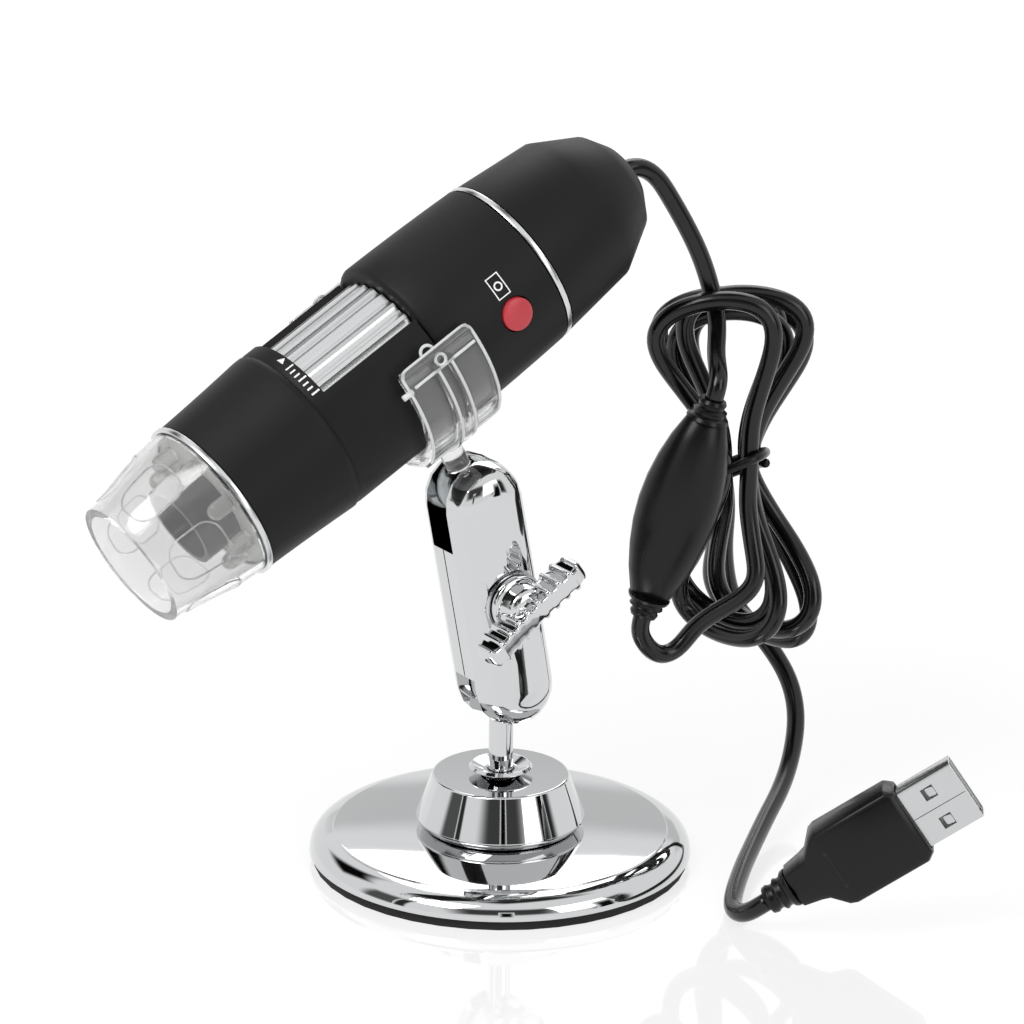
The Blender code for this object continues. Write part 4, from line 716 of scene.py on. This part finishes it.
def shroud_radius(along):
    """The nose's outer radius, on the smooth curve through its three sections."""
    (a, ra), (b, rb), (c, rc) = SHROUD_RADII
    first = ra * (along - b) * (along - c) / ((a - b) * (a - c))
    second = rb * (along - a) * (along - c) / ((b - a) * (b - c))
    third = rc * (along - a) * (along - b) / ((c - a) * (c - b))
    return first + second + third


class MICROSCOPE_OT_nose(bpy.types.Operator):
    """Adds the moulded panels of the clear nose"""

    bl_idname = "microscope.nose"
    bl_label = "Mould the nose"

    def execute(self, context):
        beads = []
        for i in range(SHROUD_PANELS):
            middle = 360.0 * i / SHROUD_PANELS + SHROUD_FIRST_DEG
            angle, along = rounded_frame(middle - PANEL_HALF_DEG, middle + PANEL_HALF_DEG,
                                         PANEL_LOW, PANEL_HIGH, PANEL_CORNER, SHROUD_RADII[1][1])
            beads.append(bead(angle, along, SHROUD_BEAD, shroud_radius))
        obj = mesh_object("nose_panels", *joined(beads), bpy.data.materials["hazed acrylic"], "scope")
        return {"FINISHED"}


# Edges of the cradle.

CRADLE_LOW, CRADLE_HIGH = 0.0341, 0.0499
CRADLE_OUTER = 0.0189
CRADLE_RIB_OUTER = 0.0199
CRADLE_RIB_OFFSET = 0.0015
CRADLE_BEAD = 0.0003
CRADLE_CORNER = 0.0016
CRADLE_GRIP_DEG = 20.0
CRADLE_SKIRT_DEG = -52.0
CRADLE_LIP_INNER_DEG = 12.0
CRADLE_LIP_LOW_INSET = 0.0012
CRADLE_LIP_HIGH_INSET = 0.0006
CRADLE_LIP_DEG = 2.6
CRADLE_RIB_END_DEG = -44.0
CRADLE_RING_RADIUS = 0.0010
CRADLE_LOOP_RADIUS = 0.0013
CRADLE_LOOP_OFFSET = 0.0011
CRADLE_NUB_DEG = 11.0
CRADLE_NUB_RADIUS = 0.00055
CRADLE_NUB_OUT = 0.0016
CRADLE_NUB_IN = 0.0006
CRADLE_NUB_AROUND = 16
CRADLE_NUB_STATIONS = 8
CRADLE_STATIONS = 24


class MICROSCOPE_OT_cradle(bpy.types.Operator):
    """Adds the cradle's moulded edges, rib tops, ring and nub, in a cloudier white that paints the glow of
    the light its walls guide
    """

    bl_idname = "microscope.cradle"
    bl_label = "Edge the cradle"

    def execute(self, context):
        middle = (CRADLE_LOW + CRADLE_HIGH) / 2
        share = np.linspace(0.0, 1.0, CRADLE_STATIONS)
        turn = 2 * np.pi * share
        # The outline and the lip's inner edge, both rib tops, a ring on the lip and half a ring past it.
        grip, lip, rib_end = np.radians((CRADLE_GRIP_DEG, CRADLE_LIP_INNER_DEG, CRADLE_RIB_END_DEG))
        edge = CRADLE_OUTER + CRADLE_BEAD
        lip_low, lip_high = CRADLE_LOW + CRADLE_LIP_LOW_INSET, CRADLE_HIGH - CRADLE_LIP_HIGH_INSET
        lines = [(*rounded_frame(CRADLE_SKIRT_DEG, CRADLE_GRIP_DEG + CRADLE_LIP_DEG, CRADLE_LOW, CRADLE_HIGH,
                                 CRADLE_CORNER, CRADLE_OUTER), edge),
                 (lip + 0 * share, lip_low + (lip_high - lip_low) * share, edge)]
        for side in (-1, 1):
            lines.append((lip + (rib_end - lip) * share, middle + side * CRADLE_RIB_OFFSET + 0 * share,
                          CRADLE_RIB_OUTER))
        lines.append(((grip + lip) / 2 + CRADLE_RING_RADIUS * np.sin(turn) / CRADLE_OUTER,
                      middle + CRADLE_RING_RADIUS * np.cos(turn), edge + CRADLE_BEAD))
        lip_end = grip + math.radians(CRADLE_LIP_DEG)
        lines.append((lip_end + CRADLE_LOOP_RADIUS * np.sin(turn / 2) / CRADLE_OUTER,
                      middle - CRADLE_LOOP_OFFSET + CRADLE_LOOP_RADIUS * np.cos(turn / 2), CRADLE_OUTER))
        beads = [bead(np.pi - angle if mirror else angle, along, CRADLE_BEAD, radius)
                 for mirror in (False, True) for angle, along, radius in lines]
        nub = np.linspace(CRADLE_LOW - CRADLE_NUB_OUT, CRADLE_LOW + CRADLE_NUB_IN, CRADLE_NUB_STATIONS)
        nub = on_barrel(CRADLE_OUTER, math.radians(CRADLE_NUB_DEG), nub)
        beads.append(tube_grid(nub, CRADLE_NUB_RADIUS, CRADLE_NUB_AROUND))
        obj = mesh_object("cradle_edges", *joined(beads), lit_edge(), "clip")
        return {"FINISHED"}


# The knob.

ARM_LEAN = math.radians(11.0)
KNOB_AT = np.array((0.00233, -0.00968, 0.05331))
KNOB_TURN = math.radians(-65.0)
KNOB_PROFILE = ((0.0001, 0.0053), (0.0022, 0.0053), (0.0032, 0.0051), (0.0039, 0.0046), (0.0042, 0.0038),
                (0.0042, 0.0020), (0.0044, 0.0016), (0.0050, 0.0015), (0.0053, 0.0012), (0.0053, 0.0003),
                (0.0001, 0.0003))
KNOB_AROUND = 96
KNOB_SHARP_DEG = 50.0
WING_SPAN = 0.0124
WING_TIP = 0.0032
WING_HALF_THICKNESS = 0.0024
WING_ROOT = 0.0017
WING_DIP = 0.0076
WING_TIP_HEIGHT = 0.0052
WING_RIB_AT = 0.0026
WING_RIB_PITCH = 0.0025
WING_RIB_DEPTH = 0.0008
WING_STATIONS = 321
WING_REACH_SHARE = 0.9995
WING_SQUARE_POWER = 0.28
WING_BOW_POWER = 1.5
WING_NOSE_POWER = 0.7
GROOVE_LEVEL_SHARE = 0.75
GROOVE_SWING_SHARE = 0.85
GROOVE_FADE_GAIN = 2.5
GROOVE_FADE_FROM = 1.1


def on_knob(x, y, z):
    """Points from the knob's own frame: X along the wings, Z out along its axis."""
    arm = np.array((0.0, 0.0, math.cos(ARM_LEAN))) - AHEAD * math.sin(ARM_LEAN)
    x_dir = arm * math.cos(KNOB_TURN) + np.cross(SIDE, arm) * math.sin(KNOB_TURN)
    y_dir = np.cross(SIDE, x_dir)
    return KNOB_AT + x[..., None] * x_dir + y[..., None] * y_dir + z[..., None] * SIDE


def squared(wave, power):
    """A sine or cosine pushed out to its ends by a power, which makes a squared oval of a circle."""
    return np.sign(wave) * np.abs(wave) ** power


def wing_rings():
    """Both wings as one bar of squared ovals: low in the middle and round at the tips.

    Its flanks have grooves: a cosine along the wing, cut off at its full depth, that fades out at the edges.
    """
    s = np.linspace(-WING_REACH_SHARE, WING_REACH_SHARE, WING_STATIONS)[:, None] * WING_SPAN
    turn = np.linspace(0.0, 2 * np.pi, KNOB_AROUND, endpoint=False)[None, :]
    core = WING_SPAN - WING_TIP
    end = np.sqrt(1 - (np.clip(np.abs(s) - core, 0.0, None) / WING_TIP) ** 2)
    out = np.clip(np.abs(s) / core, 0.0, 1.0) ** WING_BOW_POWER
    middle = (WING_ROOT + WING_DIP) / 2 * (1 - out) + WING_TIP_HEIGHT * out
    half = ((WING_DIP - WING_ROOT) / 2 * (1 - out) + WING_TIP * out) * end
    across, up = squared(np.cos(turn), WING_SQUARE_POWER), squared(np.sin(turn), WING_SQUARE_POWER)
    wave = np.cos(2 * np.pi * (np.abs(s) - WING_RIB_AT) / WING_RIB_PITCH)
    groove = np.clip(GROOVE_LEVEL_SHARE + GROOVE_SWING_SHARE * wave, 0.0, 1.0)
    groove = groove * np.clip(np.abs(across) * GROOVE_FADE_GAIN - GROOVE_FADE_FROM, 0.0, 1.0) * end
    y = (WING_HALF_THICKNESS * end ** WING_NOSE_POWER - WING_RIB_DEPTH * groove) * across
    return on_knob(s + 0 * turn, y, middle + half * up)


class MICROSCOPE_OT_knob(bpy.types.Operator):
    """Turns the knob's boss and moulds its ribbed wings"""

    bl_idname = "microscope.knob"
    bl_label = "Mould the knob"

    def execute(self, context):
        radius, height = np.array(KNOB_PROFILE).T[:, :, None]
        turn = np.linspace(0.0, 2 * np.pi, KNOB_AROUND, endpoint=False)[None, :]
        boss = on_knob(radius * np.cos(turn), radius * np.sin(turn), height + 0 * turn)
        obj = mesh_object("ribbed_knob", *joined([closed_ends(boss), closed_ends(wing_rings())]),
                          bpy.data.materials["chrome plate"], "knob", KNOB_SHARP_DEG)
        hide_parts("wing_knob")
        return {"FINISHED"}


# Details of the plug.

PLUG_RELIEF_LENGTH = 0.0058
PLUG_BODY_LENGTH = 0.0250
PLUG_HALF_THICKNESS = 0.0041
SHELL_HALF_THICKNESS = 0.00225
SHELL_LENGTH = 0.0110
TAB_AT = 0.0055
TAB_OFFSET = 0.0031
TAB_HALF = 0.00085
TAB_LOW, TAB_HIGH = 0.0012, 0.0021
TAB_SLOPE_SHARE = 0.4
GRIP_DOT_AT = 0.0088
GRIP_DOT_OFFSET = 0.0035
GRIP_DOT_RADIUS = 0.00042
GRIP_LINE_HALF = 0.00009
GRIP_MARK_RISE = 0.00004
SEAM_HALF = 0.00006
SEAM_INSET = 0.0002
SEAM_RISE = 0.00003
MARK_DEPTH = 0.0001
PAD_AROUND = 32
PAD_SQUARE_POWER = 0.35
PAD_SHARP_DEG = 50.0


def on_plug(wide, thin, along):
    """Points from the plug's own frame, along the way that it points."""
    ahead = plug_direction()
    lean = -math.sin(PLUG_RISE)
    up = np.array((lean * math.cos(PLUG_HEADING), lean * math.sin(PLUG_HEADING), math.cos(PLUG_RISE)))
    wide, thin, along = np.broadcast_arrays(wide, thin, along)
    across = wide[..., None] * up + thin[..., None] * np.cross(ahead, up)
    return PLUG_ENTRY + across + along[..., None] * ahead


def pad(wide, along, half_wide, half_along, low, high, slope=0.0, power=PAD_SQUARE_POWER):
    """A thin pad on the plug: squared circles from a lower to an upper level, with a slope along it."""
    turn = np.linspace(0.0, 2 * np.pi, PAD_AROUND, endpoint=False)[None, :] * np.sign(low - high)
    level = np.array((low, high))[:, None]
    x, y = squared(np.cos(turn), power), squared(np.sin(turn), power)
    level = level + slope * y * abs(high - low)
    return closed_ends(on_plug(wide + half_wide * x, level, along + half_along * y))


class MICROSCOPE_OT_plug(bpy.types.Operator):
    """Adds the spring tabs and seam of the shell, and the line and dots of the grip"""

    bl_idname = "microscope.plug"
    bl_label = "Detail the plug"

    def execute(self, context):
        start = PLUG_RELIEF_LENGTH + PLUG_BODY_LENGTH
        dot_at = PLUG_RELIEF_LENGTH + GRIP_DOT_AT
        tabs, marks = [], []
        for face in (-1, 1):
            low = face * (PLUG_HALF_THICKNESS - MARK_DEPTH)
            high = face * (PLUG_HALF_THICKNESS + GRIP_MARK_RISE)
            for side in (-1, 1):
                tabs.append(pad(side * TAB_OFFSET, start + TAB_AT, TAB_HALF, TAB_HALF, face * TAB_LOW,
                                face * TAB_HIGH, TAB_SLOPE_SHARE * face))
                marks.append(pad(side * GRIP_DOT_OFFSET, dot_at, GRIP_DOT_RADIUS, GRIP_DOT_RADIUS, low, high,
                                 power=1.0))
            marks.append(pad(0.0, dot_at, GRIP_DOT_OFFSET, GRIP_LINE_HALF, low, high))
        seam = pad(0.0, start + SHELL_LENGTH / 2, SEAM_HALF, SHELL_LENGTH / 2 - SEAM_INSET,
                   SHELL_HALF_THICKNESS - MARK_DEPTH, SHELL_HALF_THICKNESS + SEAM_RISE)
        steel = bpy.data.materials["nickel plated steel"]
        ink = new_material("parting line", srgb("020202"), 0.6)
        for name, grids, mat, slot in (("shell_tabs", tabs, steel, "plated_steel"),
                                       ("grip_marks", marks, ink, "black_plastic"),
                                       ("shell_seam", [seam], ink, "plated_steel")):
            mesh_object(name, *joined(grids), mat, "scope", PAD_SHARP_DEG)
        return {"FINISHED"}


# Printed marks.

COLLAR_PRINT_RADIUS = 0.01633
BUTTON_PRINT_RADIUS = 0.01684
PATCH_STATIONS = 9
RING_STATIONS = 48
INDEX_DEG = (80.0, 74.0, 77.0, 77.0)
INDEX_LOW = 0.0210
TICKS = 7
TICKS_PER_LONG = 3
TICK_FIRST_DEG = 69.0
TICK_PITCH_DEG = 4.0
TICK_HALF_DEG = 0.6
TICK_LOW, TICK_SHORT_HIGH, TICK_LONG_HIGH = 0.0205, 0.0217, 0.0222
SIGN_DEG = 26.0
SIGN_AT = 0.0594
SIGN_RING_OUTER, SIGN_RING_INNER = 0.00085, 0.00055
SIGN_HALF_DEG = 7.6
SIGN_RISE = 0.0014
SIGN_LINE = 0.00022


def patch(name, radius, corners_deg, corners_along, ink):
    """A thin printed patch on the barrel: a grid between four corners, in angle and along."""
    u, v = np.meshgrid(*[np.linspace(0, 1, PATCH_STATIONS)] * 2, indexing="ij")
    weights = np.stack([(1 - u) * (1 - v), u * (1 - v), u * v, (1 - u) * v])
    angle = np.tensordot(np.radians(corners_deg), weights, 1)
    along = np.tensordot(corners_along, weights, 1)
    return grid_mesh(name, on_barrel(radius, angle, along)[::-1], ink, "scope")


def ring_print(name, centre_deg, centre_along, outer, inner, radius, ink):
    """A printed ring: two circles on the barrel's surface, joined."""
    turn = np.linspace(0, 2 * np.pi, RING_STATIONS, endpoint=False)
    rows = np.array([outer, inner])[:, None]
    angle = math.radians(centre_deg) + rows * np.cos(turn) / radius
    along = centre_along + rows * np.sin(turn)
    return grid_mesh(name, on_barrel(radius, angle, along)[::-1], ink, "scope", wrap_v=True)


class MICROSCOPE_OT_prints(bpy.types.Operator):
    """Prints the index mark and scale on the collar and the camera sign by the button"""

    bl_idname = "microscope.prints"
    bl_label = "Print the marks"

    def execute(self, context):
        ink = print_white()
        patch("collar_index", COLLAR_PRINT_RADIUS, INDEX_DEG,
              (INDEX_LOW, INDEX_LOW, TICK_LONG_HIGH, TICK_LONG_HIGH), ink)
        for i in range(TICKS):
            middle = TICK_FIRST_DEG - TICK_PITCH_DEG * i
            left, right = middle + TICK_HALF_DEG, middle - TICK_HALF_DEG
            high = TICK_SHORT_HIGH if i % TICKS_PER_LONG else TICK_LONG_HIGH
            patch("collar_tick_%d" % i, COLLAR_PRINT_RADIUS, (left, right, right, left),
                  (TICK_LOW, TICK_LOW, high, high), ink)
        ring_print("sign_lens", SIGN_DEG, SIGN_AT, SIGN_RING_OUTER, SIGN_RING_INNER, BUTTON_PRINT_RADIUS, ink)
        left, right = SIGN_DEG + SIGN_HALF_DEG, SIGN_DEG - SIGN_HALF_DEG
        low, high = SIGN_AT - SIGN_RISE, SIGN_AT + SIGN_RISE
        line_deg = math.degrees(SIGN_LINE / BUTTON_PRINT_RADIUS)
        sides = ((left, left - line_deg, low, high), (right + line_deg, right, low, high),
                 (left, right, low, low + SIGN_LINE), (left, right, high - SIGN_LINE, high))
        for i, (a, b, c, d) in enumerate(sides):
            patch("sign_edge_%d" % i, BUTTON_PRINT_RADIUS, (a, b, b, a), (c, c, d, d), ink)
        return {"FINISHED"}


# Stage.

CARD_FADE_SHARE = 0.28
CARD_STATIONS = 33
FLOOR_HALF = 3.0
FLOOR_ROUGHNESS = 0.04
FLOOR_SHINE = 0.14
FLOOR_SHINE_NEAR, FLOOR_SHINE_FAR = 0.12, 0.24
FLOOR_GLOW = 1.06
FLOOR_GLOW_SHARE = 0.84
ROOM_LIGHT = 0.42
STAGE_MIDDLE = (0.0, 0.0, 0.06)
SENSOR_MM = 36.0
VIEW_NEAR, VIEW_FAR = 0.05, 20.0
# Cards that only metal, glass and gloss see: name, grey, place, and width by height.
STAGE_CARDS = (
    ("front", "474747", (0.10, -1.50, 0.80), (2.60, 1.30)),
    ("front_slot", "060606", (0.06, -0.80, 0.20), (0.13, 0.40)),
    ("left", "5C5C5C", (-1.30, -0.40, 0.45), (0.90, 1.30)),
    ("right", "303030", (1.30, -0.50, 0.45), (0.90, 1.30)),
    ("right_slot", "0A0A0A", (0.62, -0.30, 0.10), (0.16, 0.60)),
    ("left_slot", "343434", (-0.60, -0.36, 0.22), (0.12, 0.70)),
    ("back", "DADADA", (0.25, 1.40, 0.50), (1.60, 0.30)),
    ("back_high", "A8A8A8", (0.60, 1.30, 1.10), (1.00, 0.50)),
    ("top", "303030", (0.10, 0.10, 1.00), (0.50, 0.80)),
    ("rib_shade", "0C0C0C", (-0.84, 0.83, 0.97), (1.10, 0.70)),
)
# Soft lights: name, place, side and watts.
STAGE_LIGHTS = (
    ("key", (-0.45, -0.45, 0.75), 0.5, 5.5),
    ("fill", (0.70, -0.55, 0.45), 0.6, 2.4),
    ("back", (0.10, 0.70, 0.70), 0.6, 2.4),
)


def card_paper():
    """Grey card with an airbrushed edge, lit evenly."""
    mat = bare_material("grey card")
    shade = add_node(mat, "ShaderNodeAttribute", attribute_name="shade")
    glow = add_node(mat, "ShaderNodeEmission", in_Strength=1.0)
    out = add_node(mat, "ShaderNodeOutputMaterial")
    mat.node_tree.links.new(shade.outputs["Color"], glow.inputs["Color"])
    mat.node_tree.links.new(glow.outputs["Emission"], out.inputs["Surface"])
    return mat


def stage_card(name, centre, size, grey, paper):
    """A card of a grey at a place, square to the way to the stage's middle, that fades to white outward.

    The shade of a point is a smooth step of how far it is from the card's nearest edge.
    """
    centre = Vector(centre)
    turn = np.array((Vector(STAGE_MIDDLE) - centre).to_track_quat("Z", "Y").to_matrix())
    u, v = np.meshgrid(*[np.linspace(-0.5, 0.5, CARD_STATIONS)] * 2, indexing="ij")
    flat = np.stack([u * size[0], v * size[1], 0 * u], axis=-1)
    card = grid_mesh(name, np.array(centre) + flat @ turn.T, paper, None)
    inward = np.clip((0.5 - np.maximum(np.abs(u), np.abs(v))) / CARD_FADE_SHARE, 0.0, 1.0).reshape(-1, 1)
    inward = inward * inward * (3 - 2 * inward)
    shade = np.hstack([1 - inward * (1 - np.array([grey])), np.ones_like(inward)])
    tint = card.data.attributes.new("shade", "FLOAT_COLOR", "POINT")
    tint.data.foreach_set("color", shade.astype(np.float32).ravel())
    card.visible_camera = False
    card.visible_diffuse = False
    card.visible_shadow = False
    card.visible_transmission = False


def floor_material():
    """White acrylic sheet: white to the camera, with the object's shadow and, near it, a faint reflection."""
    mat = bare_material("white floor")
    white = shown(srgb("FFFFFF"))
    paint = add_node(mat, "ShaderNodeBsdfDiffuse", in_Color=white)
    glow = add_node(mat, "ShaderNodeEmission", in_Color=white, in_Strength=FLOOR_GLOW)
    gloss = add_node(mat, "ShaderNodeBsdfGlossy", in_Color=white, in_Roughness=FLOOR_ROUGHNESS)
    lit = add_node(mat, "ShaderNodeMixShader", in_Fac=FLOOR_GLOW_SHARE)
    seen = add_node(mat, "ShaderNodeMixShader")
    way = add_node(mat, "ShaderNodeMixShader")
    path = add_node(mat, "ShaderNodeLightPath")
    place = add_node(mat, "ShaderNodeTexCoord")
    reach = add_node(mat, "ShaderNodeVectorMath", operation="LENGTH")
    fade = add_node(mat, "ShaderNodeMapRange", in_From_Min=FLOOR_SHINE_NEAR, in_From_Max=FLOOR_SHINE_FAR,
                    in_To_Min=FLOOR_SHINE, in_To_Max=0.0)
    out = add_node(mat, "ShaderNodeOutputMaterial")
    for source, goal in (
        (place.outputs["Object"], reach.inputs[0]),
        (reach.outputs["Value"], fade.inputs["Value"]),
        (fade.outputs["Result"], seen.inputs["Fac"]),
        (paint.outputs["BSDF"], lit.inputs[1]),
        (glow.outputs["Emission"], lit.inputs[2]),
        (lit.outputs["Shader"], seen.inputs[1]),
        (gloss.outputs["BSDF"], seen.inputs[2]),
        (path.outputs["Is Camera Ray"], way.inputs["Fac"]),
        (lit.outputs["Shader"], way.inputs[1]),
        (seen.outputs["Shader"], way.inputs[2]),
        (way.outputs["Shader"], out.inputs["Surface"]),
    ):
        mat.node_tree.links.new(source, goal)
    return mat


def white_world():
    """White where the camera, metal and glass look past the object, and a plain level of light on it."""
    world = bpy.data.worlds.new("studio")
    bpy.context.scene.world = world
    world.use_nodes = True
    world.node_tree.nodes.clear()
    white = shown(srgb("FFFFFF"))
    seen = add_node(world, "ShaderNodeBackground", in_Strength=1.0, in_Color=white)
    fill = add_node(world, "ShaderNodeBackground", in_Strength=ROOM_LIGHT, in_Color=white)
    path = add_node(world, "ShaderNodeLightPath")
    first = add_node(world, "ShaderNodeMath", operation="MAXIMUM")
    second = add_node(world, "ShaderNodeMath", operation="MAXIMUM")
    mix = add_node(world, "ShaderNodeMixShader")
    out = add_node(world, "ShaderNodeOutputWorld")
    for source, goal in (
        (path.outputs["Is Camera Ray"], first.inputs[0]),
        (path.outputs["Is Glossy Ray"], first.inputs[1]),
        (first.outputs["Value"], second.inputs[0]),
        (path.outputs["Is Transmission Ray"], second.inputs[1]),
        (second.outputs["Value"], mix.inputs["Fac"]),
        (fill.outputs["Background"], mix.inputs[1]),
        (seen.outputs["Background"], mix.inputs[2]),
        (mix.outputs["Shader"], out.inputs["Surface"]),
    ):
        world.node_tree.links.new(source, goal)


def soft_light(name, place, side, watts):
    """A square soft light aimed at the stage's middle."""
    lamp = bpy.data.lights.new(name, "AREA")
    lamp.size = side
    lamp.energy = watts
    obj = bpy.data.objects.new(name, lamp)
    bpy.context.scene.collection.objects.link(obj)
    obj.location = place
    obj.rotation_euler = (Vector(STAGE_MIDDLE) - Vector(place)).to_track_quat("-Z", "Y").to_euler()


def view_camera(stage):
    """The camera at its place, tilted down and turned about its view."""
    lens = bpy.data.cameras.new("camera")
    lens.sensor_width = SENSOR_MM
    lens.lens = stage.focal_mm
    lens.clip_start = VIEW_NEAR
    lens.clip_end = VIEW_FAR
    camera = bpy.data.objects.new("camera", lens)
    bpy.context.scene.collection.objects.link(camera)
    up = Vector((0.0, math.sin(stage.pitch), math.cos(stage.pitch)))
    right = Vector((1.0, 0.0, 0.0))
    back = Vector((0.0, -math.cos(stage.pitch), math.sin(stage.pitch)))
    x_dir = right * math.cos(stage.roll) + up * math.sin(stage.roll)
    y_dir = up * math.cos(stage.roll) - right * math.sin(stage.roll)
    turn = Matrix((x_dir, y_dir, back)).transposed().to_4x4()
    camera.matrix_world = Matrix.Translation(stage.camera_at) @ turn
    return camera


class MICROSCOPE_OT_stage(bpy.types.Operator):
    """Sets the pale floor, the cards that the chrome mirrors, the soft lights and the camera"""

    bl_idname = "microscope.stage"
    bl_label = "Set the stage"

    def execute(self, context):
        scene = context.scene
        scene.view_settings.view_transform = "Standard"
        white_world()
        half = FLOOR_HALF
        corners = np.array(((-half, -half, 0.0), (half, -half, 0.0), (half, half, 0.0), (-half, half, 0.0)))
        floor = mesh_object("floor", corners, np.array([[0, 1, 2, 3]]), floor_material(), None)
        paper = card_paper()
        for name, code, place, size in STAGE_CARDS:
            stage_card("card_" + name, place, size, srgb(code), paper)
        for name, place, side, watts in STAGE_LIGHTS:
            soft_light(name, place, side, watts)
        scene.camera = view_camera(scene.microscope_stage)
        return {"FINISHED"}


class MICROSCOPE_PT_panel(bpy.types.Panel):
    """Lists the steps that dress the microscope"""

    bl_idname = "MICROSCOPE_PT_panel"
    bl_label = "Microscope"
    bl_space_type = "VIEW_3D"
    bl_region_type = "UI"
    bl_category = "Microscope"

    def draw(self, context):
        for step in STEPS:
            self.layout.operator(step)
        scene = context.scene
        for group in (scene.microscope_finish, scene.microscope_cord, scene.microscope_stage):
            for name in group.__annotations__:
                self.layout.prop(group, name)


STEPS = ("microscope.finishes", "microscope.stand", "microscope.tie", "microscope.cord", "microscope.nose",
         "microscope.cradle", "microscope.knob", "microscope.plug", "microscope.prints", "microscope.stage")
CLASSES = (
    MicroscopeFinish, MicroscopeCord, MicroscopeStage, MICROSCOPE_OT_finishes, MICROSCOPE_OT_stand,
    MICROSCOPE_OT_tie, MICROSCOPE_OT_cord, MICROSCOPE_OT_nose, MICROSCOPE_OT_cradle, MICROSCOPE_OT_knob,
    MICROSCOPE_OT_plug, MICROSCOPE_OT_prints, MICROSCOPE_OT_stage, MICROSCOPE_PT_panel,
)


def register():
    for item in CLASSES:
        bpy.utils.register_class(item)
    bpy.types.Scene.microscope_finish = PointerProperty(type=MicroscopeFinish)
    bpy.types.Scene.microscope_cord = PointerProperty(type=MicroscopeCord)
    bpy.types.Scene.microscope_stage = PointerProperty(type=MicroscopeStage)


def unregister():
    del bpy.types.Scene.microscope_stage
    del bpy.types.Scene.microscope_cord
    del bpy.types.Scene.microscope_finish
    for item in reversed(CLASSES):
        bpy.utils.unregister_class(item)


def main():
    register()
    bpy.ops.microscope.finishes()
    bpy.ops.microscope.stand()
    bpy.ops.microscope.tie()
    bpy.ops.microscope.cord()
    bpy.ops.microscope.nose()
    bpy.ops.microscope.cradle()
    bpy.ops.microscope.knob()
    bpy.ops.microscope.plug()
    bpy.ops.microscope.prints()
    bpy.ops.microscope.stage()


if __name__ == "__main__":
    main()
